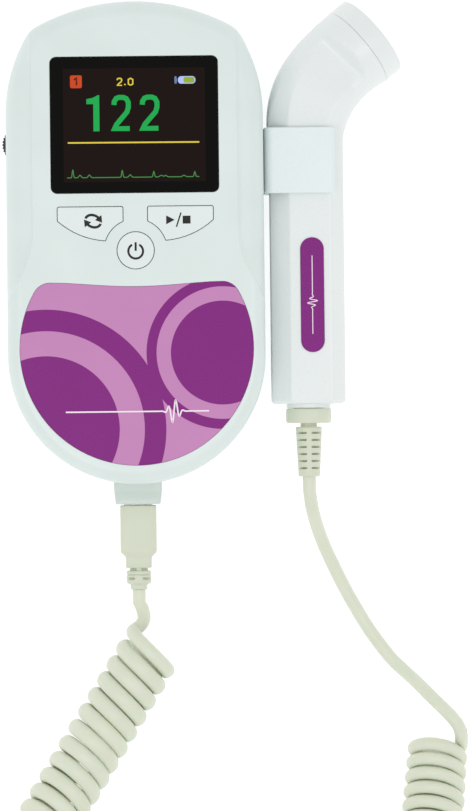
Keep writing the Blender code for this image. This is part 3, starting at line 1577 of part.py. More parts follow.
def probe_head():
    """The rim round the sound face, the face, and the crystals behind it."""
    rim = HEAD_RADIUS
    spigot = head_radius(PROBE_WALL) * math.cos(math.pi / SECTION_POINTS) - 2 * GAP
    shelf = rim - RING_RIM
    ring_profile = [
        (rim - RING_ROUND, RING_HEIGHT),
        (rim - RING_ROUND * (1 - math.sqrt(0.5)), RING_HEIGHT - RING_ROUND * (1 - math.sqrt(0.5))),
        (rim, RING_HEIGHT - RING_ROUND),
        (rim, GAP),
        (spigot, GAP),
        (spigot, -RING_SPIGOT_LENGTH),
        (RING_BORE_RADIUS, -RING_SPIGOT_LENGTH),
        (RING_BORE_RADIUS, RING_SHELF_HEIGHT),
        (shelf, RING_SHELF_HEIGHT),
        (shelf, RING_HEIGHT),
    ]
    ring = turned("probe_head_ring", ring_profile, case_white(), 32)
    lens_low = RING_SHELF_HEIGHT + GAP
    lens_edge = lens_low + LENS_EDGE_HEIGHT
    lens_radius = shelf - GAP
    dome = []
    for share in np.linspace(0, 1, ARC_STEPS + 1):
        dome.append((lens_radius * share, lens_edge + LENS_DOME_HEIGHT * (1 - share**2)))
    lens_profile = dome + [(lens_radius, lens_low), (0, lens_low)]
    lens = turned("probe_lens", lens_profile, face_grey(), 32)
    core = RING_BORE_RADIUS - GAP
    crystal_top = RING_SHELF_HEIGHT
    crystal_low = crystal_top - CRYSTAL_THICKNESS
    quarter = math.pi / 2
    pieces = [ring, lens]
    for name, side in (("crystal_transmit", 1), ("crystal_receive", -1)):
        spread = quarter - math.asin(CRYSTAL_SPLIT / 2 / core)
        half_disc = arc((0, 0), core, -spread, spread, 12)
        half_disc = [(side * x, side * y) for x, y in half_disc]
        pieces.append(prism(name, half_disc, crystal_low, crystal_top, ceramic()))
    backing_top = crystal_low - GAP
    backing_profile = [
        (0, backing_top),
        (core, backing_top),
        (core, backing_top - BACKING_THICKNESS),
        (0, backing_top - BACKING_THICKNESS),
    ]
    pieces.append(turned("crystal_backing", backing_profile, dark_grey()))
    for piece in pieces:
        point_along(piece, HEAD_CENTRE, (-quarter - HEAD_TILT, 0, -HEAD_ANGLE))
    return pieces


def probe_board():
    """The small board inside the handle, on its two ribs."""
    start = PROBE_FOOT_Y + PROBE_BOARD_FROM_FOOT
    middle = PROBE_HEIGHT - PROBE_BOARD_DROP
    half, thick = PROBE_BOARD_WIDTH / 2, PROBE_BOARD_THICKNESS / 2
    return box(
        "probe_board",
        (PROBE_X - half, start, middle - thick),
        (PROBE_X + half, start + PROBE_BOARD_LENGTH, middle + thick),
        board_green(),
    )


def probe_label():
    """The long purple label on the handle."""
    low = PROBE_FRONT_Z - PILL_RECESS + GAP
    return prism("probe_label", pill_outline(), low, low + PILL_THICKNESS, label_purple())


def probe_cable_end():
    """The cream collar at the handle's foot and the ribbed strain relief under it."""
    collar_profile = [
        (0, COLLAR_LENGTH),
        (COLLAR_RADIUS - COLLAR_CHAMFER, COLLAR_LENGTH),
        (COLLAR_RADIUS, COLLAR_LENGTH - COLLAR_CHAMFER),
        (COLLAR_RADIUS, COLLAR_CHAMFER),
        (COLLAR_RADIUS - COLLAR_CHAMFER, 0),
        (COLLAR_NECK_RADIUS, 0),
        (COLLAR_NECK_RADIUS, -COLLAR_NECK_LENGTH),
        (0, -COLLAR_NECK_LENGTH),
    ]
    collar = turned("probe_collar", collar_profile, cord_cream())
    rising = [(0, 0), (BOOT_RADIUS, 0)]
    taper = (BOOT_TIP_RADIUS - BOOT_RADIUS) / BOOT_LENGTH
    for k in range(BOOT_GROOVES):
        low = BOOT_ROOT_LENGTH + BOOT_GROOVE_PITCH * k
        high = low + BOOT_GROOVE_WIDTH
        near, far = BOOT_RADIUS + taper * low, BOOT_RADIUS + taper * high
        rising += [(near, low), (near - BOOT_GROOVE_DEPTH, low)]
        rising += [(far - BOOT_GROOVE_DEPTH, high), (far, high)]
    rising += [(BOOT_TIP_RADIUS, BOOT_LENGTH), (0, BOOT_LENGTH)]
    boot = turned("probe_boot", list(reversed(rising)), cord_cream(), 20)
    down = (math.pi / 2, 0, 0)
    point_along(collar, (PROBE_X, COLLAR_TOP_Y, PROBE_HEIGHT), down)
    point_along(boot, (PROBE_X, BOOT_TOP_Y, PROBE_HEIGHT), down)
    return collar, boot


def probe():
    """The whole probe, carried by one empty at the holder's middle."""
    pieces = [*probe_shells(), *probe_head(), probe_board(), probe_label(), *probe_cable_end()]
    carry(guide_empty("probe_slide", (PROBE_X, HOLDER_Y, PROBE_HEIGHT)), *pieces)


# Cord


def tube(name, points, resolution):
    """A round cord along a line of points."""
    curve = bpy.data.curves.new(name, "CURVE")
    curve.dimensions = "3D"
    curve.bevel_depth = CORD_RADIUS
    curve.bevel_resolution = resolution
    curve.use_fill_caps = True
    spline = curve.splines.new("POLY")
    spline.points.add(len(points) - 1)
    for point, place in zip(spline.points, points):
        point.co = (*place, 1)
    curve.materials.append(cord_cream())
    item = bpy.data.objects.new(name, curve)
    bpy.data.collections["fetal_doppler"].objects.link(item)
    return item


def smooth_route(places, step):
    """Reads points a step apart from a smooth curve through hand-chosen places."""
    places = np.array(places)
    before, after = 2 * places[0] - places[1], 2 * places[-1] - places[-2]
    row = np.vstack([before, places, after])
    t = np.linspace(0, 1, 20, endpoint=False)[:, None]
    parts = []
    for k in range(1, len(row) - 2):
        a, b, c, d = row[k - 1 : k + 3]
        parts.append(
            b
            + (c - a) / 2 * t
            + (a - 5 / 2 * b + 2 * c - d / 2) * t**2
            + (3 * (b - c) + d - a) / 2 * t**3
        )
    fine = np.vstack([*parts, places[-1:]])
    run = np.concatenate([[0], np.cumsum(np.linalg.norm(np.diff(fine, axis=0), axis=1))])
    count = max(int(round(run[-1] / step)), 2)
    at = np.linspace(0, run[-1], count + 1)
    return np.stack([np.interp(at, run, fine[:, k]) for k in range(3)], axis=1)


def curl_axis():
    """The line that the curls go round, with the curl pitch at each of its points.

    It runs straight from the plug's end, turns in a half loop and runs straight up to
    the probe's end. Returns its points, their headings and the number of curls so far.
    """
    near_turn = -CURL_START_ANGLE
    stretches = (
        (CURL_NEAR_LENGTH, 0.0, CURL_PITCH_NEAR),
        (CURL_TURN_RADIUS * near_turn, near_turn, CURL_PITCH_LOOP),
        (CURL_FLOOR_LENGTH, 0.0, CURL_PITCH_LOOP),
        (CURL_TURN_RADIUS * CURL_END_ANGLE, CURL_END_ANGLE, CURL_PITCH_LOOP),
        (CURL_FAR_LENGTH, 0.0, CURL_PITCH_FAR),
    )
    x, y = CURL_START
    heading, curls = CURL_START_ANGLE, 0.0
    rows = [(x, y, heading, curls)]
    for length, turn, pitch in stretches:
        steps = math.ceil(length / CURL_PITCH_FAR * CURL_STEPS)
        for _ in range(steps):
            middle = heading + turn / steps / 2
            x += math.cos(middle) * length / steps
            y += math.sin(middle) * length / steps
            heading += turn / steps
            curls += length / steps / pitch
            rows.append((x, y, heading, curls))
    return np.array(rows)


def curl_points():
    """The centre line of the curls: a left-handed helix round the curl axis."""
    rows = curl_axis()
    extra = (CURL_START_PHASE - CURL_END_PHASE) / (2 * math.pi)
    total = math.floor(rows[-1, 3] - extra) + extra
    count = int(round(total * CURL_STEPS))
    at = np.linspace(0, total, count + 1)
    x, y, heading = (np.interp(at, rows[:, 3], rows[:, k]) for k in range(3))
    phase = CURL_START_PHASE - 2 * np.pi * at
    side = CURL_RADIUS * np.cos(phase)
    rise = CURL_RADIUS * np.sin(phase)
    return np.stack([x - side * np.sin(heading), y + side * np.cos(heading), CURL_HEIGHT + rise], 1)


def lead_points(start, route, step):
    """A lead that leaves a strain relief straight down for one diameter of the cord."""
    straight = (start[0], start[1] - 2 * CORD_RADIUS, start[2])
    return np.vstack([start, smooth_route([straight, *route], step)])


def lead_monitor_points():
    """The short lead from the plug's strain relief to the curls."""
    boot_end = PLUG_END_Y - GAP - plug_boot_profile()[0][1]
    return lead_points((0, boot_end - GAP, SOCKET_HEIGHT), LEAD_MONITOR_ROUTE, CORD_RADIUS)


def lead_probe_points():
    """The lead from the probe's strain relief to the other end of the curls."""
    boot_end = BOOT_TOP_Y - BOOT_LENGTH
    return lead_points((PROBE_X, boot_end - GAP, PROBE_HEIGHT), LEAD_PROBE_ROUTE, CORD_STEP)


def heading(start, end):
    """The unit step from one point to another."""
    return (end - start) / np.linalg.norm(end - start)


def coil_points():
    """The curls with a straight end and a smooth entry at each side."""
    curls = curl_points()
    near, far = lead_monitor_points(), lead_probe_points()
    entry, leave = heading(near[-2], near[-1]), heading(far[-1], far[-2])
    first, last = heading(curls[0], curls[1]), heading(curls[-2], curls[-1])
    start, end = near[-1] + entry * GAP, far[-1] - leave * GAP
    inner_start, inner_end = start + entry * 2 * CORD_RADIUS, end - leave * 2 * CORD_RADIUS
    lead_in = bezier(
        (
            inner_start,
            inner_start + entry * CURL_ENTRY_REACH,
            curls[0] - first * CURL_JOIN_REACH,
            curls[0],
        ),
        ENTRY_STEPS,
    )
    lead_out = bezier(
        (
            curls[-1],
            curls[-1] + last * CURL_EXIT_REACH,
            inner_end - leave * CURL_EXIT_REACH,
            inner_end,
        ),
        ENTRY_STEPS,
    )
    return np.vstack([start[None], lead_in[:-1], curls, lead_out[1:], end[None]])


def least_gap(points):
    """The least gap of a cord to itself, measured between points along its centre line."""
    fine = np.vstack([points[:-1] + np.diff(points, axis=0) * share for share in (0, 1 / 3, 2 / 3)])
    order = np.argsort(np.concatenate([np.arange(len(points) - 1) + s for s in (0, 1 / 3, 2 / 3)]))
    fine = fine[order]
    skip = 3 * CURL_STEPS // 2
    least = math.inf
    for k in range(len(fine) - skip):
        away = np.linalg.norm(fine[k + skip :] - fine[k], axis=1)
        least = min(least, away.min())
    return least - 2 * CORD_RADIUS


def cords():
    """The straight leads and the curls, face to face with a small gap between them."""
    tube("cord_lead_monitor", lead_monitor_points(), 2)
    tube("cord_lead_probe", lead_probe_points(), 2)
    curls = coil_points()
    tube("cord_coil", curls, 1)
    length = np.linalg.norm(np.diff(curls, axis=0), axis=1).sum()
    print(f"curls: {len(curls)} points, {length * 1000:.0f} mm of cord")
    print(f"curls: least gap to itself {least_gap(curls) * 1000:.2f} mm")


def main():
    """Builds the whole object."""
    start_scene()
    rear_shell()
    front_shell()
    case_screws()
    screen_window()
    display_module()
    display_frame()
    label_panel()
    keys()
    main_board()
    volume_control()
    speaker()
    battery_cells()
    contacts()
    battery_door()
    socket()
    plug()
    probe_holder()
    holder_screws()
    probe()
    cords()


main()
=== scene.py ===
"""Looks of a hand-held fetal doppler: monitor, probe in its holder and curly lead.

The frame is the CAD's: X towards the probe's side, Y up the monitor's face and Z out of
it, in metres, with the origin in the middle of the monitor's back.
"""

from __future__ import annotations

import json
import logging
import math
from dataclasses import dataclass
from enum import Enum
from typing import Callable, Iterable, Sequence

import bmesh
import bpy
import numpy as np
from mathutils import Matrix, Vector

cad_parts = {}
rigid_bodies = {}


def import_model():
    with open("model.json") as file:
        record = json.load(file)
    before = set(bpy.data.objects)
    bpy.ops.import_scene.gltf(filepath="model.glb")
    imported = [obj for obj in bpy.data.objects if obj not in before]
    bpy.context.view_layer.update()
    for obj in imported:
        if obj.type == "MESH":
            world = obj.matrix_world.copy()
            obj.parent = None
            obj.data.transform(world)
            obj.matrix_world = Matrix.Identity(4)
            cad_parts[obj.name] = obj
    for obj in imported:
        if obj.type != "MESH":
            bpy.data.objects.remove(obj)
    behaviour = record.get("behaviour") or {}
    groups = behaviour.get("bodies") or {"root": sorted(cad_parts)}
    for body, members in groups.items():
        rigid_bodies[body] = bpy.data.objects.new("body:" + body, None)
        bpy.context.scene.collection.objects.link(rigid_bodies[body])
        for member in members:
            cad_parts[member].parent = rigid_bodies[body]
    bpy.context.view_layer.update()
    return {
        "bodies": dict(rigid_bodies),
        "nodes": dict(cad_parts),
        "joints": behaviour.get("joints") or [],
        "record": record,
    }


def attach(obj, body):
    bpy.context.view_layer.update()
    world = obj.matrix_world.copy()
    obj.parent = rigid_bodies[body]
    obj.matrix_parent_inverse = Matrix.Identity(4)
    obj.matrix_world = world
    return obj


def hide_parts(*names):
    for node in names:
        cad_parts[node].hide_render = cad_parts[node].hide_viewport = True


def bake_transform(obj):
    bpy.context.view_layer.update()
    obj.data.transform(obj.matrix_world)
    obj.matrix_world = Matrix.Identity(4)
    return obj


LOG = logging.getLogger("fetal_doppler")
Array = np.ndarray
Piece = bpy.types.Object
Pair = tuple[float, float]
Place = tuple[float, float, float]
Points = Sequence[Sequence[float]] | Array
Outline = Callable[[float], Array]
MM = 0.001
TURN = 2 * math.pi
QUARTER = math.pi / 2


# Finishes


class Texture(Enum):
    """How a surface was made, which sets its fine pattern."""

    SPARKED = "skin of a spark-eroded mould"
    BRUSHED = "lines of a brush or a lathe"
    FLOW = "flow lines along an extruded cord"
    LAMINATE = "copper lanes under green lacquer"
    SLEEVE = "printed sleeve with a metal end"
    PIXELS = "rows of display pixels"


def linear(colour: str) -> tuple[float, float, float, float]:
    """Turns an sRGB hex colour to linear light.

    Args:
        colour: A colour such as "#DDE8E6".

    Returns:
        Red, green, blue and an alpha of one.
    """
    parts = [int(colour[k : k + 2], 16) / 255 for k in (1, 3, 5)]
    light = [p / 12.92 if p <= 0.04045 else ((p + 0.055) / 1.055) ** 2.4 for p in parts]
    return (light[0], light[1], light[2], 1.0)


def add_node(
    tree: bpy.types.NodeTree, kind: str, settings: dict[str, object] | None = None,
    feeds: dict[str | int, object] | None = None,
) -> bpy.types.Node:
    """Adds a node with its settings and links.

    Args:
        tree: The material's node tree.
        kind: The node's type name.
        settings: Attributes of the node.
        feeds: Input names or places, each with a socket to link or a value to set.

    Returns:
        The new node.
    """
    node = tree.nodes.new(kind)
    for name, value in (settings or {}).items():
        setattr(node, name, value)
    for name, value in (feeds or {}).items():
        if isinstance(value, bpy.types.NodeSocket):
            tree.links.new(value, node.inputs[name])
        else:
            node.inputs[name].default_value = value
    return node


# How far a pattern is drawn out along each axis, and the cord map's two pattern scales.
STRETCH = {Texture.BRUSHED: (1, 0.04, 1), Texture.FLOW: (1, 0.12, 1)}
FLOW_SCALES = (9.0, 1.2)
# The cell's metal end starts this far down its sleeve.
SLEEVE_END = -12 * MM


@dataclass(frozen=True)
class Finish:
    """A real material and how its surface was made."""

    name: str
    colour: str
    shade: str
    grain_mm: float
    depth_mm: float
    roughness: float
    texture: Texture = Texture.SPARKED
    swing: float = 0.05
    metallic: float = 0.0
    ior: float = 1.5
    sheen: float = 0.0
    softness: float = 0.0
    glow: float = 0.0
    shine: float = 0.5
    mottle_mm: float = 16.0

    def patterns(self, tree: bpy.types.NodeTree) -> tuple[object, object]:
        """Makes the fine height pattern and the slow colour pattern.

        Args:
            tree: The material's node tree.

        Returns:
            The sockets of the height and of the share of the second colour.
        """
        along_cord = self.texture is Texture.FLOW
        source = add_node(tree, "ShaderNodeTexCoord")
        place = fine_place = source.outputs["UV" if along_cord else "Object"]
        if self.texture in STRETCH:
            feeds = {"Vector": place, "Scale": STRETCH[self.texture]}
            fine_place = add_node(tree, "ShaderNodeMapping", None, feeds).outputs["Vector"]
        sizes = (1 / (self.grain_mm * MM), 1 / (self.mottle_mm * MM))
        fine_scale, slow_scale = FLOW_SCALES if along_cord else sizes
        feeds = {"Vector": fine_place, "Scale": fine_scale, "Detail": 3.0}
        height = add_node(tree, "ShaderNodeTexNoise", None, feeds).outputs[0]
        feeds = {"Vector": place, "Scale": slow_scale, "Detail": 4.0}
        share = add_node(tree, "ShaderNodeTexNoise", None, feeds).outputs[0]
        if self.texture is Texture.LAMINATE:
            feeds = {"Vector": place, "Scale": slow_scale, "Mortar Size": 0.03}
            greys = {"Color1": 0.0, "Color2": 0.15, "Mortar": 1.0}
            feeds.update({name: (grey, grey, grey, 1) for name, grey in greys.items()})
            lanes = add_node(tree, "ShaderNodeTexBrick", {"offset": 0.37, "squash": 0.6}, feeds)
            share = height = lanes.outputs["Color"]
        if self.texture is Texture.SLEEVE:
            split = add_node(tree, "ShaderNodeSeparateXYZ", None, {0: place})
            feeds = {0: split.outputs["Y"], 1: SLEEVE_END}
            further = add_node(tree, "ShaderNodeMath", {"operation": "GREATER_THAN"}, feeds)
            share = further.outputs[0]
        if self.texture is Texture.PIXELS:
            feeds = {"Vector": place, "Scale": 0.5 * fine_scale, "Distortion": 0.0}
            rows = add_node(tree, "ShaderNodeTexWave", {"bands_direction": "Y"}, feeds)
            share = rows.outputs["Fac"]
        return height, share

    def material(self) -> bpy.types.Material:
        """Builds the material once and gives it again after that.

        Returns:
            The material, with its colour, roughness and bump from its patterns.
        """
        known = bpy.data.materials.get(self.name)
        if known is not None:
            return known
        result = bpy.data.materials.new(self.name)
        result.use_nodes = True
        tree = result.node_tree
        shader = tree.nodes["Principled BSDF"]
        fixed = {
            "Metallic": self.metallic, "IOR": self.ior, "Specular IOR Level": self.shine,
            "Sheen Weight": self.sheen, "Emission Strength": self.glow,
            "Subsurface Weight": self.softness, "Subsurface Scale": 1.5 * MM,
        }
        for name, value in fixed.items():
            shader.inputs[name].default_value = value
        height, share = self.patterns(tree)
        feeds = {0: share, 6: linear(self.colour), 7: linear(self.shade)}
        mixed = add_node(tree, "ShaderNodeMix", {"data_type": "RGBA"}, feeds).outputs[2]
        tree.links.new(mixed, shader.inputs["Base Color"])
        if self.glow:
            tree.links.new(mixed, shader.inputs["Emission Color"])
        low, high = max(self.roughness - self.swing, 0.02), self.roughness + self.swing
        feeds = {"Value": height, "From Min": 0.3, "From Max": 0.7, "To Min": low, "To Max": high}
        dull = add_node(tree, "ShaderNodeMapRange", None, feeds)
        tree.links.new(dull.outputs[0], shader.inputs["Roughness"])
        if self.depth_mm:
            feeds = {"Height": height, "Distance": self.depth_mm * MM, "Strength": 0.7}
            relief = add_node(tree, "ShaderNodeBump", None, feeds)
            tree.links.new(relief.outputs["Normal"], shader.inputs["Normal"])
        return result


# Moulded ABS has a fine, even sparked skin and a soft gloss. The grain is drawn at
# 0.35 mm, coarser than the real 0.05 mm, so that it shows.
CASE_ABS = Finish("abs_cool_white_moulded", "#E0EAE8", "#D6E2DF", 0.35, 0.006, 0.33)
PROBE_ABS = Finish("abs_white_moulded", "#E9EEED", "#E4EAE9", 0.35, 0.005, 0.30)
# Painted light: the holder is a paler copy of the case's ABS, lighter to stand in for the light
# that the case keeps off its rounded side.
HOLDER_ABS_PAINTED_LIGHT = Finish("abs_white_painted_lighter", "#E7F0F0", "#E0EAEA", 0.35, 0.005, 0.30)
# Painted shade: the socket's collar is a greyer, duller copy of the same ABS, darker to stand in
# for the shade under the case's edge.
SOCKET_ABS_PAINTED_SHADE = Finish("abs_white_painted_shade", "#D5DFD9", "#CED8D2", 0.35, 0.006, 0.40)
# Key caps come from a finer mould, so their grain is fainter than the case's.
KEY_ABS = Finish("abs_key_caps_moulded", "#E3ECEA", "#DBE5E3", 0.3, 0.004, 0.36)
# Ink printed on a key is matt and very thin.
KEY_INK = Finish("pad_printed_ink_grey", "#262622", "#2E2E2A", 0.2, 0.002, 0.6, shine=0.2)
# Black printed acrylic: pure black behind a clear, glossy face.
WINDOW = Finish(
    "acrylic_window_black_backed", "#050403", "#070605", 1.0, 0.0, 0.07,
    swing=0.02, ior=1.49, shine=0.12,
)


def lit(name: str, colour: str, shade: str, glow: float = 0.45, roughness: float = 0.12) -> Finish:
    """Display dots: even in brightness, with rows of 0.18 mm drawn at 0.36 mm."""
    pixels = Texture.PIXELS
    return Finish(name, colour, shade, 0.36, 0.0, roughness, pixels, 0.02, glow=glow, shine=0.12)


DISPLAY_DARK = lit("display_glass_unlit", "#170C08", "#130A07", 0.25, 0.08)
LIT_GREEN = lit("display_dots_green", "#1C9446", "#188A40")
LIT_YELLOW = lit("display_dots_yellow", "#C9B63F", "#B9A638")
LIT_ORANGE = lit("display_dots_orange", "#B4401F", "#A5391B")
LIT_TRACE = lit("display_dots_trace", "#3F7F45", "#3A743F")
LIT_BLUE = lit("display_dots_pale_blue", "#AEBBDD", "#7C90CF")
LIT_LIME = lit("display_dots_lime", "#8A9E33", "#75892A")
LIT_DIM = lit("display_dots_dark", "#5A1A0E", "#4E170C", 0.4)
# Screen-printed polycarbonate film: satin face, even ink.
FILM_PINK = Finish("film_pink_screen_printed", "#C687BB", "#C180B5", 0.25, 0.002, 0.30, shine=0.3)
FILM_PURPLE = Finish(
    "film_purple_screen_printed", "#841D80", "#7D1A79", 0.25, 0.002, 0.28, shine=0.25
)
FILM_WHITE = Finish("film_white_screen_printed", "#F4EAF2", "#EDE0EA", 0.25, 0.002, 0.32)
# Soft PVC of the plug and strain reliefs is matt, warm and a little translucent.
PVC_CREAM = Finish(
    "pvc_cream_moulded", "#D9DECC", "#CFD5C0", 0.4, 0.008, 0.46,
    sheen=0.05, softness=0.08, mottle_mm=9,
)
# The cord's jacket is extruded, so its faint marks run along it.
CORD_PU = Finish(
    "polyurethane_cord_extruded", "#DFE4D2", "#D4DAC5", 0.4, 0.010, 0.42, Texture.FLOW,
    sheen=0.08, softness=0.10,
)
# Silicone on the sound face is smooth and duller than the rim about it.
FACE_RUBBER = Finish("silicone_sound_face_moulded", "#E3E7E5", "#DAE0DD", 0.5, 0.004, 0.38)
# Dark ABS shows its grain, because nothing bright hides it.
WHEEL_ABS = Finish("abs_dark_grey_moulded", "#3A3A3C", "#303032", 0.3, 0.010, 0.5)
DARK_ABS = Finish("abs_black_moulded", "#2A2A2C", "#222224", 0.3, 0.008, 0.5)
# Turned and nickel-plated steel is warm grey, with fine rings from the lathe.
STEEL = Finish(
    "steel_nickel_plated_turned", "#C9C8C3", "#B9B8B2", 0.12, 0.004, 0.26, Texture.BRUSHED,
    swing=0.08, metallic=1.0,
)
# A cell's printed sleeve is half metallic: dark along most of it, copper at one end.
CELL = Finish(
    "alkaline_cell_printed_sleeve", "#2F3338", "#B87A45", 0.3, 0.002, 0.28, Texture.SLEEVE,
    metallic=0.5,
)
# Lacquer over copper lanes gives the board paler green bands that stand up a little.
BOARD = Finish(
    "glass_epoxy_board_lacquered", "#1F6B45", "#4C9A6C", 0.5, 0.03, 0.35, Texture.LAMINATE,
    mottle_mm=6,
)
# Silvered ceramic looks like pale, dull metal paint.
PIEZO = Finish("piezo_ceramic_silvered", "#C4BFB2", "#B5AF9F", 0.2, 0.006, 0.45)
# Cast epoxy full of tungsten powder is dark and gritty.
DAMPER = Finish("epoxy_tungsten_damper_cast", "#4A4A4C", "#5A5A5C", 0.15, 0.02, 0.7)
# Pressed paper is black and matt, with faint fibres one way.
CONE = Finish("pressed_paper_cone_black", "#242426", "#343436", 0.5, 0.02, 0.7, Texture.BRUSHED)
# White studio paper, lit evenly from its own glow so that it fades into the background.
FLOOR = Finish("studio_paper_white", "#BEBEBE", "#BCBCBC", 2.0, 0.0, 0.9, glow=1.3)


# Shapes

OBLONG_STEPS = 72


def unit(vector: Array) -> Array:
    """A vector of length one."""
    return vector / np.linalg.norm(vector)


def smooth_step(value: Array, start: float = 0.0, end: float = 1.0) -> Array:
    """Runs from zero at the start to one at the end as 3 s squared less 2 s cubed."""
    share = np.clip((value - start) / (end - start), 0, 1)
    return share * share * (3 - 2 * share)


def units(rows: Array) -> Array:
    """Rows of vectors, each brought to length one."""
    return rows / np.linalg.norm(rows, axis=1)[:, None]


def run_along(line: Array) -> Array:
    """How far each point lies along a line: the running sum of its steps' lengths."""
    return np.concatenate([[0], np.cumsum(np.linalg.norm(np.diff(line, axis=0), axis=1))])


def arc(centre: Sequence[float], radius: float, start: float, end: float, steps: int) -> Array:
    """Points on a circle: centre plus radius times the cosine and sine of an even angle.

    Args:
        centre: X and Y of the centre.
        radius: Radius in metres.
        start: First angle in radians.
        end: Last angle in radians.
        steps: Count of steps.

    Returns:
        An array of steps + 1 rows of X and Y.
    """
    angle = np.linspace(start, end, steps + 1)
    return np.stack([centre[0] + radius * np.cos(angle), centre[1] + radius * np.sin(angle)], 1)


def box_corners(low: Sequence[float], high: Sequence[float]) -> Array:
    """The four corners of an upright rectangle, from its lower left one round."""
    return np.array([low, (high[0], low[1]), high, (low[0], high[1])], float)


def fillet(
    corners: Points, radii: float | Sequence[float], steps: int = 6
) -> Array:
    """Rounds the corners of a closed outline with arcs that touch both sides.

    Args:
        corners: The corner points in order.
        radii: One radius, or one for each corner, zero for a sharp one.
        steps: Steps of each arc.

    Returns:
        The rounded outline.
    """
    places = np.asarray(corners, float)
    count = len(places)
    rows = []
    for k, radius in enumerate(np.broadcast_to(radii, count)):
        here = places[k]
        back, ahead = unit(places[k - 1] - here), unit(places[(k + 1) % count] - here)
        if radius <= 0:
            rows.append(here[None])
            continue
        half = 0.5 * math.acos(float(np.clip(back @ ahead, -1, 1)))
        centre = here + unit(back + ahead) * radius / math.sin(half)
        first = here + back * radius / math.tan(half) - centre
        last = here + ahead * radius / math.tan(half) - centre
        start, end = math.atan2(first[1], first[0]), math.atan2(last[1], last[0])
        sweep = (end - start + math.pi) % TURN - math.pi
        rows.append(arc(centre, radius, start, start + sweep, steps))
    return np.vstack(rows)


def offset(outline: Array, distance: float) -> Array:
    """Moves an outline outwards: each point goes along the mitre of its two sides.

    Args:
        outline: The closed outline.
        distance: How far, negative to move inwards.

    Returns:
        The moved outline, with as many points.
    """
    following = np.roll(outline, -1, axis=0)
    side = units(following - outline)
    area = np.sum(outline[:, 0] * following[:, 1] - following[:, 0] * outline[:, 1])
    outward = np.stack([side[:, 1], -side[:, 0]], 1) * np.sign(area)
    mitre = outward + np.roll(outward, 1, axis=0)
    mitre = mitre / np.sum(mitre * outward, axis=1)[:, None]
    return outline + mitre * distance


def mirrored(half: Array) -> Array:
    """A closed outline from its right half, which runs from the top to the foot."""
    left = half[::-1] * (-1, 1)
    return np.vstack([half, left[np.abs(left[:, 0]) > 0.001 * MM]])


def edge_profile(
    low: float, high: float, low_round: float, high_round: float, steps: int = 8
) -> Array:
    """The rim of a thick plate: a quarter circle at each end of its height.

    The inset is the radius less the radius times the sine of an even angle, and the
    height goes with the cosine. One more row a little further in holds the flat flat.

    Args:
        low: Height of the underside.
        high: Height of the top.
        low_round: Radius under the rim.
        high_round: Radius over the rim.
        steps: Steps of each quarter circle.

    Returns:
        Rows of inset and height, from the underside up.
    """
    angle = np.linspace(0, QUARTER, steps + 1)
    rise, fall = 1 - np.cos(angle), 1 - np.sin(angle)
    lower, upper = [[0.0, low]], [[0.0, high]]
    if low_round:
        bend = np.stack([low_round * fall, low + low_round * rise], 1)
        lower = [[low_round * 1.2, low], *bend]
    if high_round:
        bend = np.stack([high_round * rise, high - high_round * fall], 1)
        upper = [*bend, [high_round * 1.2, high]]
    return np.array([*lower, *upper])


def new_piece(name: str, points: Array, faces: Iterable[Sequence[int]]) -> Piece:
    """Makes an object at the origin from points and faces, with its faces outwards.

    Args:
        name: The piece's name.
        points: Rows of X, Y and Z.
        faces: Point numbers of each face.

    Returns:
        The linked object.
    """
    mesh = bpy.data.meshes.new(name)
    mesh.from_pydata(np.asarray(points).tolist(), [], [list(map(int, face)) for face in faces])
    shape = bmesh.new()
    shape.from_mesh(mesh)
    bmesh.ops.remove_doubles(shape, verts=shape.verts, dist=0.0005 * MM)
    bmesh.ops.recalc_face_normals(shape, faces=shape.faces)
    shape.to_mesh(mesh)
    shape.free()
    piece = bpy.data.objects.new(name, mesh)
    bpy.context.scene.collection.objects.link(piece)
    return piece


def grid_faces(rows: int, count: int, closed: bool = False) -> Array:
    """Squares between rings: point k of ring n, point k + 1, and those of ring n + 1.

    Args:
        rows: Count of rings.
        count: Points of a ring.
        closed: True where the last ring is joined to the first.

    Returns:
        Rows of four point numbers.
    """
    row, k = np.meshgrid(np.arange(rows if closed else rows - 1), np.arange(count), indexing="ij")
    here, above, beside = row * count, (row + 1) % rows * count, (k + 1) % count
    return np.stack([here + k, here + beside, above + beside, above + k], -1).reshape(-1, 4)


def skin(name: str, rings: Array) -> Piece:
    """Joins a row of closed rings by squares and closes both ends.

    Args:
        name: The piece's name.
        rings: Array of rings, points and X, Y, Z.

    Returns:
        The closed piece.
    """
    rings = np.asarray(rings, float)
    rows, count = rings.shape[:2]
    ends = [range(count)[::-1], range((rows - 1) * count, rows * count)]
    return new_piece(name, rings.reshape(-1, 3), [*grid_faces(rows, count), *ends])


def slab(
    name: str, outline: Array | Outline, low: float, high: float,
    low_round: float = 0.0, high_round: float = 0.0, steps: int = 8,
) -> Piece:
    """A thick plate: its outline is inset and raised as its rim's profile says.

    Args:
        name: The piece's name.
        outline: The outline, or a function of the inset that gives it.
        low: Height of the underside.
        high: Height of the top.
        low_round: Radius of the lower rim.
        high_round: Radius of the upper rim.
        steps: Steps of each rim.

    Returns:
        The closed piece.
    """
    rings = []
    for inset, height in edge_profile(low, high, low_round, high_round, steps):
        flat = outline(inset) if callable(outline) else offset(outline, -inset)
        rings.append(np.column_stack([flat, np.full(len(flat), height)]))
    return skin(name, np.array(rings))


def block(name: str, low: Sequence[float], high: Sequence[float]) -> Piece:
    """A box between two corners, used to cut with."""
    return slab(name, box_corners(low[:2], high[:2]), low[2], high[2])


def spokes(axis: Sequence[float], angle: Array) -> tuple[Array, Array]:
    """Directions square to an axis: the cosine and sine of an angle times two of them.

    Args:
        axis: The direction of the axis.
        angle: Angles round it.

    Returns:
        A unit vector for each angle, and the unit axis.
    """
    along = unit(np.asarray(axis, float))
    helper = np.eye(3)[2 if abs(along[2]) < 0.9 else 0]
    across = unit(np.cross(helper, along))
    up = np.cross(along, across)
    return np.cos(angle)[:, None] * across + np.sin(angle)[:, None] * up, along


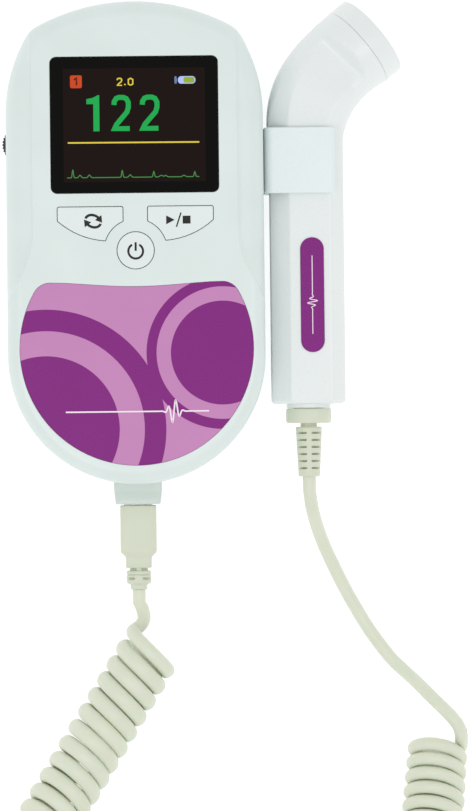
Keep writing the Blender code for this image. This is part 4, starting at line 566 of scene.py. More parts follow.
def turned(
    name: str, profile: Array, centre: Sequence[float], axis: Sequence[float],
    steps: int = 64, shape: Callable[[Array, Array], Array] | None = None,
) -> Piece:
    """A surface of revolution: centre plus axis times height plus radius round the axis.

    Args:
        name: The piece's name.
        profile: Rows of radius and height.
        centre: Where height is zero.
        axis: Direction of the axis.
        steps: Steps round the axis.
        shape: Function of height and angle that gives what is taken off the radius.

    Returns:
        The closed piece.
    """
    angle = np.arange(steps) * TURN / steps
    around, along = spokes(axis, angle)
    radius, height = np.asarray(profile, float).T
    reach = np.repeat(radius[:, None], steps, 1)
    if shape is not None:
        reach = reach - shape(height[:, None], angle[None])
    rings = np.asarray(centre) + along * height[:, None, None] + reach[..., None] * around
    return skin(name, rings)


def rod(
    name: str, radius: float, start: Sequence[float], end: Sequence[float], steps: int = 48
) -> Piece:
    """A cylinder from one point to another, used to cut with."""
    way = np.asarray(end, float) - np.asarray(start, float)
    return turned(name, [(radius, 0.0), (radius, float(np.linalg.norm(way)))], start, way, steps)


def ribbon(
    name: str, path: Points, width: float, low: float, high: float
) -> Piece:
    """A flat strip along an open line: both its sides are the line moved half a width.

    Args:
        name: The piece's name.
        path: Points of the line.
        width: Width of the strip.
        low: Height of its underside.
        high: Height of its top.

    Returns:
        The closed piece.
    """
    line = np.asarray(path, float)
    step = units(np.diff(line, axis=0))
    normal = np.stack([-step[:, 1], step[:, 0]], 1)
    before, after = np.vstack([normal[:1], normal]), np.vstack([normal, normal[-1:]])
    mitre = before + after
    mitre = mitre / np.maximum(np.sum(mitre * after, axis=1), 0.6)[:, None]
    left, right = line + mitre * width / 2, line - mitre * width / 2
    corners = np.stack([left, right, right, left], 1)
    heights = np.broadcast_to([high, high, low, low], (len(line), 4))
    return skin(name, np.dstack([corners, heights]))


def ring_solid(
    name: str, profile: Array, centre: Sequence[float], axis: Sequence[float], steps: int = 96
) -> Piece:
    """A closed profile carried round an axis, as a ring without ends.

    Args:
        name: The piece's name.
        profile: Closed rows of radius and height, the last equal to the first.
        centre: Where height is zero.
        axis: Direction of the axis.
        steps: Steps round the axis.

    Returns:
        The closed ring.
    """
    around, along = spokes(axis, np.arange(steps) * TURN / steps)
    radius, height = profile[:-1].T
    points = np.asarray(centre) + along * height[:, None, None] + radius[:, None, None] * around
    return new_piece(name, points.reshape(-1, 3), grid_faces(len(radius), steps, True))


def oblong_rings(
    rows: Sequence[Place], centre: Pair, power: float
) -> Array:
    """Rounded oblongs in the XZ plane, carried along Y.

    A point at an angle lies at one over the power norm of the cosine over the half width
    and the sine over the half depth.

    Args:
        rows: Y, half width and half depth of each ring, in millimetres.
        centre: X and Z of the middle.
        power: How square the corners are.

    Returns:
        Array of rings, points and X, Y, Z.
    """
    angle = np.arange(OBLONG_STEPS) * TURN / OBLONG_STEPS
    cosine, sine = np.cos(angle), np.sin(angle)
    rings = []
    for y, half_width, half_depth in rows:
        wide, deep = half_width * MM, half_depth * MM
        reach = (np.abs(cosine / wide) ** power + np.abs(sine / deep) ** power) ** (-1 / power)
        x, z = centre[0] + reach * cosine, centre[1] + reach * sine
        rings.append(np.column_stack([x, np.full(OBLONG_STEPS, y * MM), z]))
    return np.array(rings)


def bezier(points: Points, steps: int) -> Array:
    """A cubic curve: the four points weighted by the terms of (1 - t + t) cubed.

    Args:
        points: Start, two handles and end.
        steps: Count of steps.

    Returns:
        An array of steps + 1 points.
    """
    t = np.linspace(0, 1, steps + 1)[:, None]
    a, b, c, d = (np.asarray(point, float) for point in points)
    return a * (1 - t) ** 3 + 3 * b * t * (1 - t) ** 2 + 3 * c * t**2 * (1 - t) + d * t**3


def carve(piece: Piece, *tools: Piece, how: str = "DIFFERENCE") -> Piece:
    """Cuts, joins or trims a piece by others, which are then gone.

    Args:
        piece: The piece that stays.
        tools: The pieces that cut it.
        how: DIFFERENCE, UNION or INTERSECT.

    Returns:
        The same piece with its new mesh.
    """
    for tool in tools:
        step = piece.modifiers.new("carve", "BOOLEAN")
        step.operation = how
        step.solver = "EXACT"
        step.object = tool
    bpy.context.view_layer.update()
    seen = piece.evaluated_get(bpy.context.evaluated_depsgraph_get())
    mesh = bpy.data.meshes.new_from_object(seen)
    piece.modifiers.clear()
    piece.data = mesh
    for tool in tools:
        bpy.data.objects.remove(tool, do_unlink=True)
    return piece


def merged(name: str, pieces: Sequence[Piece]) -> Piece:
    """Puts several meshes in one piece.

    Args:
        name: The new piece's name.
        pieces: The pieces, which are then gone.

    Returns:
        One piece with all their faces.
    """
    shape = bmesh.new()
    for piece in pieces:
        shape.from_mesh(piece.data)
        bpy.data.objects.remove(piece, do_unlink=True)
    mesh = bpy.data.meshes.new(name)
    shape.to_mesh(mesh)
    shape.free()
    result = bpy.data.objects.new(name, mesh)
    bpy.context.scene.collection.objects.link(result)
    return result


def dress(
    piece: Piece, finish: Finish, body: str | None,
    stands_for: Sequence[str] = (), angle: float = 32,
) -> Piece:
    """Gives a piece its finish, its shading and its place in the frame.

    Args:
        piece: The piece.
        finish: Its material.
        body: The CAD body that it rides on, or None where it is blended.
        stands_for: CAD nodes that it is shown in place of.
        angle: Edges sharper than this many degrees stay sharp.

    Returns:
        The piece.
    """
    piece.data.name = piece.name
    piece.data.materials.clear()
    piece.data.materials.append(finish.material())
    piece.data.shade_smooth()
    piece.data.set_sharp_from_angle(angle=math.radians(angle))
    if body is not None:
        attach(piece, body)
    if stands_for:
        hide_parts(*stands_for)
    LOG.info("%s: %s, %d faces", piece.name, finish.name, len(piece.data.polygons))
    return piece


def even_normals(piece: Piece) -> Piece:
    """Keeps large flat faces flat in the light, next to small round ones."""
    piece.modifiers.new("even_normals", "WEIGHTED_NORMAL").keep_sharp = True
    return piece


def middle_block(name: str, half: float, y: Pair, z: Pair) -> Piece:
    """A box across the middle line, from its half width and its ends along Y and Z."""
    return block(name, (-half, y[0], z[0]), (half, y[1], z[1]))


# Monitor


@dataclass
class MonitorCase:
    """The two shells, the battery door, the screws and the socket's housing."""

    length: float = 135 * MM
    width: float = 72 * MM
    depth: float = 35 * MM
    wall: float = 2.4 * MM
    gap: float = 0.3 * MM
    top_radius: float = 57 * MM
    cheek_radius: float = 44 * MM
    shoulder_radius: float = 8 * MM
    cheek_y: float = 35.7 * MM
    front_round: float = 4 * MM
    back_round: float = 6 * MM
    split: float = 19.7 * MM
    crease_x: float = 29 * MM
    crease_y: float = -1.8 * MM
    flare_degrees: float = 25.0
    flare_radius: float = 25 * MM
    cheek_slope: float = 2 / 7
    cheek_ease: float = 0.3 * MM
    bead_height: float = 0.3 * MM
    bead_reach: float = 0.28 * MM
    well_half_width: float = 15.4 * MM
    well_foot: float = -50.5 * MM
    well_top: float = 4.4 * MM
    well_ceiling: float = 17.1 * MM
    door_half_width: float = 16.8 * MM
    door_top: float = 6.0 * MM
    well_wall: float = 1.4 * MM
    door_thickness: float = 2 * MM
    tongue_reach: float = 1.4 * MM
    tongue_length: float = 30 * MM
    groove: Pair = (-44.3 * MM, 0.9 * MM)
    speaker_y: float = 38 * MM
    grille_step: float = 4 * MM
    screw_seat: float = 11.7 * MM
    bore_radius: float = 2.8 * MM
    socket_half: float = 5.9 * MM
    socket_z: Pair = (4.7 * MM, 11.7 * MM)

    def outline(self, inset: float = 0.0) -> Array:
        """The case from the front: four arcs a side that keep their centres when inset.

        Args:
            inset: How far inside the case's side it runs.

        Returns:
            The closed outline, with as many points for every inset.
        """
        half_width, top_y = self.width / 2, self.length / 2
        top = np.array((0, top_y - self.top_radius))
        cheek = np.array((half_width - self.cheek_radius, self.cheek_y))
        foot = (0, half_width - top_y)
        reach_top = self.top_radius - self.shoulder_radius
        reach_cheek = self.cheek_radius - self.shoulder_radius
        along = cheek - top
        apart = float(np.linalg.norm(along))
        base = (reach_top**2 - reach_cheek**2 + apart**2) / (2 * apart)
        rise = math.sqrt(reach_top**2 - base**2)
        normal = np.array((-along[1], along[0])) / apart
        options = [top + along * base / apart + normal * side * rise for side in (1, -1)]
        shoulder = max(options, key=lambda place: place[0])
        upper = math.atan2(*(shoulder - top)[::-1])
        lower = math.atan2(*(shoulder - cheek)[::-1])
        arcs = [
            arc(top, self.top_radius - inset, QUARTER, upper, 28),
            arc(shoulder, self.shoulder_radius - inset, upper, lower, 12)[1:-1],
            arc(cheek, self.cheek_radius - inset, lower, 0, 22),
            arc(foot, half_width - inset, 0, -QUARTER, 48),
        ]
        return mirrored(np.vstack(arcs))

    def posts(self) -> list[Pair]:
        """The four screw places."""
        return [(side * x * MM, y * MM) for x, y in ((26, 48.5), (27, -40)) for side in (-1, 1)]

    def strip(self, half_width: float, top: float, inset: float = 0.0) -> Array:
        """A strip from a straight top down to the round foot of the case.

        Args:
            half_width: Half its width.
            top: Y of its straight top.
            inset: How far inside the foot's circle it ends.

        Returns:
            The closed outline.
        """
        radius = self.width / 2 - inset
        spread = math.asin(half_width / radius)
        centre = (0, self.width / 2 - self.length / 2)
        foot = arc(centre, radius, -QUARTER - spread, -QUARTER + spread, 40)
        return np.vstack([[(half_width, top), (-half_width, top)], foot])

    def slope_cheeks(self, piece: Piece) -> None:
        """Lowers the front outside the two creases.

        The fall is zero up to the crease, then the slope times the distance squared over
        twice the ease, and past the ease the slope times the distance less half the ease.
        The distance is the smallest of those to five lines that touch one arc, from the
        upright line to the flared one, and the fall fades out down the side wall. A thin
        bell along the crease stands proud, as the moulded line does.

        Args:
            piece: The front plate, which is changed.
        """
        turns = np.radians(np.linspace(0, self.flare_degrees, 5))
        normals = np.stack([np.cos(turns), np.sin(turns)], 1)
        drop = self.flare_radius * math.tan(float(turns[-1]) / 2)
        centre = np.array((self.crease_x + self.flare_radius, self.crease_y + drop))
        shape = bmesh.new()
        shape.from_mesh(piece.data)
        cuts = [-0.56, -0.4, -0.28, -0.14, 0, 0.14, 0.28, 0.4, 0.56, 1.2, 2.2, 3.4, 4.6, 5.8]
        for side in (-1, 1):
            for step in cuts:
                for normal in normals:
                    place = centre + normal * (step * MM - self.flare_radius)
                    bmesh.ops.bisect_plane(
                        shape, geom=[*shape.verts, *shape.edges, *shape.faces], dist=0.0001 * MM,
                        plane_co=(side * place[0], place[1], 0),
                        plane_no=(side * normal[0], normal[1], 0),
                    )
        shape.to_mesh(piece.data)
        shape.free()
        points = np.empty((len(piece.data.vertices), 3))
        piece.data.vertices.foreach_get("co", points.ravel())
        away = np.stack([np.abs(points[:, 0]), points[:, 1]], 1) - centre
        past = np.min(away @ normals.T, axis=1) + self.flare_radius
        distance = np.clip(past, 0, None)
        ease = self.cheek_ease
        fall = np.where(distance < ease, distance**2 / (2 * ease), distance - ease / 2)
        share = smooth_step((points[:, 2] - 24 * MM) / (7 * MM))
        bead = self.bead_height * np.exp(-((past / self.bead_reach) ** 2))
        points[:, 2] += (bead - self.cheek_slope * fall) * share
        piece.data.vertices.foreach_set("co", points.ravel())
        piece.data.update()

    def front(self, cutters: Sequence[Piece]) -> Piece:
        """The front shell: a rounded plate with sloping cheeks, hollowed and pierced.

        Args:
            cutters: What pierces it.

        Returns:
            The hollow shell.
        """
        low = self.split + self.gap
        shell = slab("case_front", self.outline, low, self.depth, 0.15 * MM, self.front_round, 12)
        self.slope_cheeks(shell)
        inside, top = self.outline(self.wall), self.depth - self.wall
        hollow = slab("hollow", inside, low - 2 * MM, top, 0, 1.2 * MM, 3)
        return carve(shell, hollow, *cutters)

    def back(self) -> Piece:
        """The back shell: a rounded plate with the battery well, grille and screw holes.

        Returns:
            The hollow shell.
        """
        shell = slab("case_back", self.outline, 0, self.split, self.back_round, 0.15 * MM, 12)
        inside, top = self.outline(self.wall), self.split + 2 * MM
        hollow = slab("hollow", inside, self.wall, top, 2.5 * MM, 0, 4)
        well, wall = self.well_half_width, self.well_wall
        keep_y = (-70 * MM, self.door_top + 3 * MM)
        keep = middle_block("keep", well + 6 * MM, keep_y, (0, 4.2 * MM))
        box_y = (self.well_foot - wall, self.well_top + wall)
        box = middle_block("box", well + wall, box_y, (0, self.well_ceiling + wall))
        carve(hollow, keep, box)
        half, floor = self.door_half_width + self.gap, self.door_thickness + self.gap
        opening = self.strip(half, self.door_top + self.gap, -3 * MM)
        recess = slab("recess", opening, -2 * MM, floor)
        groove_y = (self.groove[0], self.door_top + self.gap)
        groove = middle_block("groove", half + self.tongue_reach, groove_y, (self.groove[1], floor))
        space_y, space_z = (self.well_foot, self.well_top), (self.door_thickness, self.well_ceiling)
        tools = [hollow, recess, groove, middle_block("space", well, space_y, space_z)]
        for k, width in enumerate((11.0, 16.5, 18.5, 16.5, 11.0)):
            y = self.speaker_y + (k - 2) * self.grille_step
            corners = box_corners((-width, -0.8), (width, 0.8)) * MM * (0.5, 1)
            slot = slab("slot", fillet(corners, 0.75 * MM) + (0, y), -1 * MM, 4 * MM)
            tools.append(slot)
        for x, y in self.posts():
            tools.append(rod("bore", self.bore_radius, (x, y, -1 * MM), (x, y, 12 * MM)))
        mouth = middle_block("mouth", self.socket_half, (-70 * MM, -60 * MM), self.socket_z)
        return carve(shell, *tools, mouth)

    def door(self) -> Piece:
        """The battery door, trimmed to the foot, with grip ridges and a slide mark.

        Returns:
            The door.
        """
        cover = self.strip(self.door_half_width, self.door_top, -3 * MM)
        door = slab("battery_cover", cover, -2 * MM, self.door_thickness)
        tongues_y = (self.door_top - self.tongue_length, self.door_top)
        tongues_z = (self.door_thickness - 0.8 * MM, self.door_thickness)
        reach = self.door_half_width + self.tongue_reach
        carve(door, middle_block("tongues", reach, tongues_y, tongues_z), how="UNION")
        limit = slab("limit", self.outline, 0, self.split, self.back_round, 0, 12)
        carve(door, limit, how="INTERSECT")
        tools = []
        for k in range(6):
            y, half = (-20 - 2.4 * k) * MM, (8.5 - 0.45 * k) * MM
            corners = box_corners((-half, y - 0.6 * MM), (half, y + 0.6 * MM))
            tools.append(slab("ridge", fillet(corners, 0.55 * MM), -1 * MM, 0.45 * MM))
        arrow = np.array([(-4, -38), (0, -43), (4, -38), (4, -39.6), (0, -44.6), (-4, -39.6)]) * MM
        tools.append(slab("arrow", arrow, -1 * MM, 0.4 * MM))
        return carve(door, *tools)

    def screws(self) -> list[Piece]:
        """Four pan-head screws with cross recesses, deep in their holes.

        Returns:
            The screws.
        """
        head = [(2.0, -2.0), (2.35, -1.9), (2.5, -1.6), (2.5, 0)]
        profile = np.array([*head, (1.25, 0), (1.25, 17), (0.6, 17.3)]) * MM
        seat, result = self.screw_seat, []
        for k, (x, y) in enumerate(self.posts()):
            screw = turned(f"screw_{k + 1}", profile, (x, y, seat), (0, 0, 1), 40)
            for turn in (0.4 * k, 0.4 * k + QUARTER):
                way = np.array((math.cos(turn), math.sin(turn))) * 1.5 * MM
                line = [(x - way[0], y - way[1]), (x + way[0], y + way[1])]
                carve(screw, ribbon("cross", line, 0.55 * MM, seat - 3 * MM, seat - 1 * MM))
            result.append(screw)
        return result

    def housing(self) -> Piece:
        """The collar round the socket: rounded oblongs carried out from the foot.

        Returns:
            The collar.
        """
        rows = [
            (-65.6, 6.85, 4.05), (-69.4, 6.75, 4.05), (-70.2, 6.68, 4.2), (-71.4, 6.55, 4.7),
            (-72.6, 6.42, 4.9), (-73.0, 6.38, 4.85), (-73.2, 6.28, 4.75), (-73.3, 6.05, 4.5),
        ]
        collar = skin("socket_collar", oblong_rings(rows, (0, 8.2 * MM), 10))
        return carve(
            collar, middle_block("bore", self.socket_half, (-75 * MM, -60 * MM), self.socket_z)
        )

    def build(self, cutters: Sequence[Piece]) -> None:
        """Makes and dresses every piece of the case.

        Args:
            cutters: What pierces the front: window, keys, film and wheel.
        """
        front, back = self.front(cutters), self.back()
        even_normals(dress(front, CASE_ABS, "monitor", ["front_shell"]))
        even_normals(dress(back, CASE_ABS, "monitor", ["rear_shell"]))
        dress(self.door(), CASE_ABS, "battery_door", ["battery_door"])
        for k, screw in enumerate(self.screws()):
            dress(screw, STEEL, "monitor", [f"case_screw_{k + 1}"])
        dress(self.housing(), SOCKET_ABS_PAINTED_SHADE, "monitor", ["socket_housing"])


@dataclass
class Screen:
    """The black window and the picture on the lit display."""

    width: float = 46.8 * MM
    height: float = 38 * MM
    corner: float = 1.7 * MM
    centre_y: float = 32.9 * MM
    top: float = 35 * MM
    thickness: float = 1.2 * MM
    picture_width: float = 39.6 * MM
    picture_height: float = 31.7 * MM
    picture_y: float = 32.8 * MM
    dot: float = 0.012 * MM

    def rectangle(self, width: float, height: float, corner: float, y: float) -> Array:
        """A rectangle with round corners, whose middle lies at Y on the middle line."""
        low, high = (-width / 2, y - height / 2), (width / 2, y + height / 2)
        return fillet(box_corners(low, high), corner, 8)

    def cutters(self, gap: float) -> list[Piece]:
        """What cuts the window's seat and the opening under it into the front.

        Args:
            gap: Room round the window.

        Returns:
            The two cutting pieces.
        """
        width, height = self.width + 2 * gap, self.height + 2 * gap
        seat = self.rectangle(width, height, self.corner + gap, self.centre_y)
        opening = self.rectangle(41.8 * MM, 33 * MM, self.corner, self.centre_y)
        return [
            slab("seat", seat, self.top - self.thickness - gap, self.top + 2 * MM),
            slab("opening", opening, 30 * MM, self.top + 2 * MM),
        ]

    def glyph(
        self, name: str, place: Pair, size: Pair, stroke: float
    ) -> Piece:
        """A plain numeral or sign from strokes on a unit square.

        Args:
            name: The numeral, or dot.
            place: Lower left corner on the picture, in millimetres from its middle.
            size: Width and height over the strokes, in millimetres.
            stroke: Stroke width in millimetres.

        Returns:
            The flat strip.
        """
        if name == "1":
            wide, tall = size
            flag = 0.84 * stroke
            outline = [(wide - stroke, 0), (wide, 0), (wide, tall), (0.87 * wide, tall)]
            outline += [(0.66 * wide, 0.955 * tall), (0.42 * wide, 0.92 * tall), (0, 0.895 * tall)]
            outline += [(0, 0.895 * tall - flag), (wide - stroke, 0.895 * tall - flag)]
            return self.patch(np.array(outline) + place, 2)
        lines = {
            "2": [
                (0.0, 0.76), (0.02, 0.87), (0.16, 0.97), (0.34, 1.0), (0.66, 1.0), (0.86, 0.96),
                (1.0, 0.84), (1.0, 0.68), (0.9, 0.53), (0.16, 0.13), (0.02, 0.0), (1.08, 0.0),
            ],
            "0": [
                (0.5, 0.0), (0.0, 0.18), (0.0, 0.82), (0.5, 1.0),
                (1.0, 0.82), (1.0, 0.18), (0.5, 0.0),
            ],
            "dot": [(0.0, 0.0), (0.0, 0.2)],
        }
        inner = np.array(size) - stroke
        line = np.array(lines[name]) * inner + place + stroke / 2
        return self.flat_ribbon(line, stroke, 2)

    def flat_ribbon(self, line: Points, width: float, layer: int) -> Piece:
        """A lit strip on the picture.

        Args:
            line: Its points, in millimetres from the picture's middle.
            width: Its width in millimetres.
            layer: Its place in the stack of dots.

        Returns:
            The flat strip.
        """
        path = np.asarray(line, float) * MM + (0, self.picture_y)
        low = self.top + self.dot * (layer - 1)
        return ribbon("strip", path, width * MM, low, low + self.dot)

    def patch(self, outline: Array, layer: int) -> Piece:
        """A lit patch on the picture: outline in millimetres from its middle."""
        low = self.top + self.dot * (layer - 1)
        return slab("patch", outline * MM + (0, self.picture_y), low, low + self.dot)

    def trace(self) -> Array:
        """The pulse line: a level with a narrow bell for each beat and its after-waves.

        Returns:
            Rows of X and Y in millimetres from the picture's middle.
        """
        x = np.linspace(-18.9, 18.0, 420)
        y = np.full_like(x, -14.6)
        beats = [
            (-17.3, 2.3, 0.16), (-15.3, 0.7, 0.3), (-12.7, 0.75, 0.3), (-3.5, 2.0, 0.17),
            (-1.3, 0.7, 0.3), (5.3, 1.6, 0.18), (7.4, 0.45, 0.4), (8.6, 0.4, 0.3),
            (13.7, 0.4, 0.35), (16.75, 1.4, 0.18),
        ]
        for middle, tall, wide in beats:
            y += tall * np.exp(-(((x - middle) / wide) ** 2) / 2)
        return np.stack([x, y], 1)

    def area(
        self, low: Sequence[float], high: Sequence[float], radius: float, layer: int
    ) -> Piece:
        """A lit rectangle with round corners, in millimetres from the picture's middle."""
        return self.patch(fillet(box_corners(low, high), radius), layer)

    def show(self, name: str, finish: Finish, *parts: Piece) -> None:
        """Dresses parts of the picture as one piece of one colour."""
        dress(merged(name, parts), finish, "monitor")

    def build(self) -> None:
        """Makes the window and each colour of the picture."""
        outline = self.rectangle(self.width, self.height, self.corner, self.centre_y)
        low = self.top - self.thickness
        window = slab("window", outline, low, self.top, 0.1 * MM, 0.12 * MM, 3)
        dress(window, WINDOW, "monitor", ["screen_window"])
        lit_size = (self.picture_width, self.picture_height)
        lit_area = self.rectangle(*lit_size, 0.15 * MM, self.picture_y)
        glass = slab("picture_ground", lit_area, self.top - 0.01 * MM, self.top + self.dot)
        dress(glass, DISPLAY_DARK, "monitor")
        self.show(
            "picture_rate",
            LIT_GREEN,
            self.glyph("1", (-13.3, -1.7), (3.6, 10.1), 1.7),
            self.glyph("2", (-6.3, -1.7), (5.4, 10.1), 1.4),
            self.glyph("2", (1.6, -1.7), (5.5, 10.1), 1.4),
        )
        self.show(
            "picture_line",
            LIT_YELLOW,
            self.glyph("2", (-4.8, 10.9), (1.6, 2.3), 0.36),
            self.glyph("dot", (-2.7, 10.9), (0.5, 2.3), 0.42),
            self.glyph("0", (-1.7, 10.9), (1.6, 2.3), 0.36),
            self.flat_ribbon([(-18.6, -4.85), (18.1, -4.95)], 0.42, 2),
        )
        channel = self.area((-17.8, 10.4), (-14.5, 14.0), 0.5, 2)
        self.show("picture_channel", LIT_ORANGE, channel)
        one = self.flat_ribbon([(-16.7, 12.7), (-16.0, 13.2), (-16.0, 11.2)], 0.5, 3)
        self.show("picture_channel_one", LIT_DIM, one)
        self.show("picture_trace", LIT_TRACE, self.flat_ribbon(self.trace(), 0.24, 2))
        corners = box_corners((12.3, 11.35), (17.2, 13.45))
        frame = self.patch(fillet(corners, 0.95), 2)
        nub = self.patch(fillet(corners * (0.12, 1) + (9.9, 0), 0.55), 2)
        self.show("picture_cell_edge", LIT_BLUE, frame, nub)
        charge = self.area((13.9, 11.6), (16.9, 13.2), 0.5, 3)
        self.show("picture_cell_charge", LIT_LIME, charge)


@dataclass
class Keypad:
    """Three flush keys with printed signs."""

    width: float = 18.2 * MM
    from_middle: float = 3.5 * MM
    top_y: float = 10 * MM
    outer_height: float = 3.8 * MM
    tip_x: float = 8.45 * MM
    bow: float = 1.2 * MM
    corner: float = 0.4 * MM
    point: float = 0.14 * MM
    ring: float = 8.9 * MM
    power_radius: float = 5.12 * MM
    power_y: float = -2.2 * MM
    gap: float = 0.2 * MM
    face: float = 35.3 * MM
    under: float = 31.3 * MM

    def side_outline(self, inset: float = 0.0) -> Array:
        """The right key: a bar whose foot sweeps in to a ring about the power key.

        Args:
            inset: How far inside the key's side it runs.

        Returns:
            The closed outline, with as many points for every inset.
        """
        outer_x = self.from_middle + self.width
        outer = np.array((outer_x, self.top_y - self.outer_height))
        rise = math.sqrt(self.ring**2 - self.from_middle**2)
        drop = math.sqrt(self.ring**2 - self.tip_x**2)
        tip = np.array((self.tip_x, self.power_y + drop))
        way = unit(tip - outer)
        outward = np.array((way[1], -way[0]))
        share = np.linspace(0, 1, 9)[1:-1, None]
        sweep = outer + (tip - outer) * share - outward * self.bow * 4 * share * (1 - share)
        start, end = math.atan2(drop, self.tip_x), math.atan2(rise, self.from_middle)
        bend = arc((0, self.power_y), self.ring, start, end, 9)
        bar = [(self.from_middle, self.top_y), (outer_x, self.top_y), outer]
        corners = np.vstack([bar, sweep, bend])
        radii = np.zeros(len(corners))
        radii[:3] = self.corner
        radii[[3 + len(sweep), len(corners) - 1]] = self.point
        radii = np.where(radii > 0, np.maximum(radii - inset, 0.03 * MM), 0)
        return fillet(offset(corners[::-1], -inset), radii[::-1], 5)

    def left_outline(self, inset: float = 0.0) -> Array:
        """The left key: the right one's mirror image."""
        return self.side_outline(inset)[::-1] * (-1, 1)

    def power_outline(self, inset: float = 0.0) -> Array:
        """The power key's circle."""
        return arc((0, self.power_y), self.power_radius - inset, 0, TURN, 72)[:-1]

    def cutters(self) -> list[Piece]:
        """What cuts the three holes into the front.

        Returns:
            The three cutting pieces.
        """
        low, high = 30 * MM, 37 * MM
        outlines = (self.side_outline, self.left_outline, self.power_outline)
        return [slab("hole", outline(-self.gap), low, high) for outline in outlines]

    def key(
        self, name: str, outline: Outline, middle: Pair
    ) -> Piece:
        """A cap with a soft rim, the flange that keeps it in and its stem.

        Args:
            name: The key's name.
            outline: Function of the inset that gives the key's outline.
            middle: X and Y of the stem.

        Returns:
            The key.
        """
        cap = slab(name, outline, self.under, self.face, 0, 0.28 * MM, 5)
        flange = slab("flange", outline(-0.8 * MM), self.under - 0.02 * MM, 32.3 * MM)
        stem = rod("stem", 1.6 * MM, (*middle, 27.6 * MM), (*middle, 32 * MM), 24)
        return carve(cap, flange, stem, how="UNION")

    def mark(self, name: str, strips: Sequence[Piece], body: str) -> None:
        """Dresses a printed sign as one piece on a key."""
        dress(merged(name, strips), KEY_INK, body)

    def strip(self, path: Points, width: float) -> Piece:
        """A printed stroke on a key's face, in millimetres."""
        line = np.asarray(path, float) * MM
        return ribbon("stroke", line, width * MM, self.face - 0.005 * MM, self.face + 0.012 * MM)

    def solid(self, outline: Points) -> Piece:
        """A printed area on a key's face, in millimetres."""
        area = np.asarray(outline, float) * MM
        return slab("area", area, self.face - 0.005 * MM, self.face + 0.012 * MM)

    def build(self) -> None:
        """Makes the keys and their signs."""
        plans = (
            ("key_right", "play_key", self.side_outline, (12.5 * MM, 5.7 * MM)),
            ("key_left", "mode_key", self.left_outline, (-12.5 * MM, 5.7 * MM)),
            ("key_power", "power_key", self.power_outline, (0.0, self.power_y)),
        )
        for name, body, outline, middle in plans:
            dress(self.key(name, outline, middle), KEY_ABS, body, [body])
        self.build_signs()

    def build_signs(self) -> None:
        """Prints two round arrows, the start and stop signs and the power sign."""
        x, y = -11.8, 6.05
        squash, tilt = np.array((1.0, 0.74)), math.radians(-24)
        spin = np.array([(math.cos(tilt), math.sin(tilt)), (-math.sin(tilt), math.cos(tilt))])
        strips = []
        for side in (0.0, math.pi):
            bend = arc((0, 0), 2.2, side + math.radians(186), side + math.radians(64), 18)
            strips.append(self.strip(bend * squash @ spin + (x, y), 0.72))
            tip = arc((0, 0), 2.2, side + math.radians(66), side + math.radians(40), 1)
            tip = tip * squash @ spin
            ahead = unit(tip[1] - tip[0])
            across = np.array((-ahead[1], ahead[0]))
            base = tip[0] + (x, y)
            corners = [base + across * 1.15, base - across * 1.15, base + ahead * 1.85]
            strips.append(self.solid(corners))
        self.mark("sign_mode", strips, "mode_key")
        x, y = 12.0, 6.2
        triangle = [(x - 3.4, y - 1.25), (x - 1.0, y), (x - 3.4, y + 1.25)]
        slash = [(x - 0.55, y - 2.0), (x + 0.75, y + 2.0)]
        square = box_corners((x + 1.2, y - 1.1), (x + 3.4, y + 1.1))
        strips = [self.solid(triangle), self.strip(slash, 0.4), self.solid(square)]
        self.mark("sign_play", strips, "play_key")
        y = -2.45
        ring = arc((0, y), 2.05, math.radians(119), math.radians(421), 40)
        strips = [self.strip(ring, 0.62), self.strip([(0, y + 0.1), (0, y + 2.5)], 0.6)]
        self.mark("sign_power", strips, "power_key")


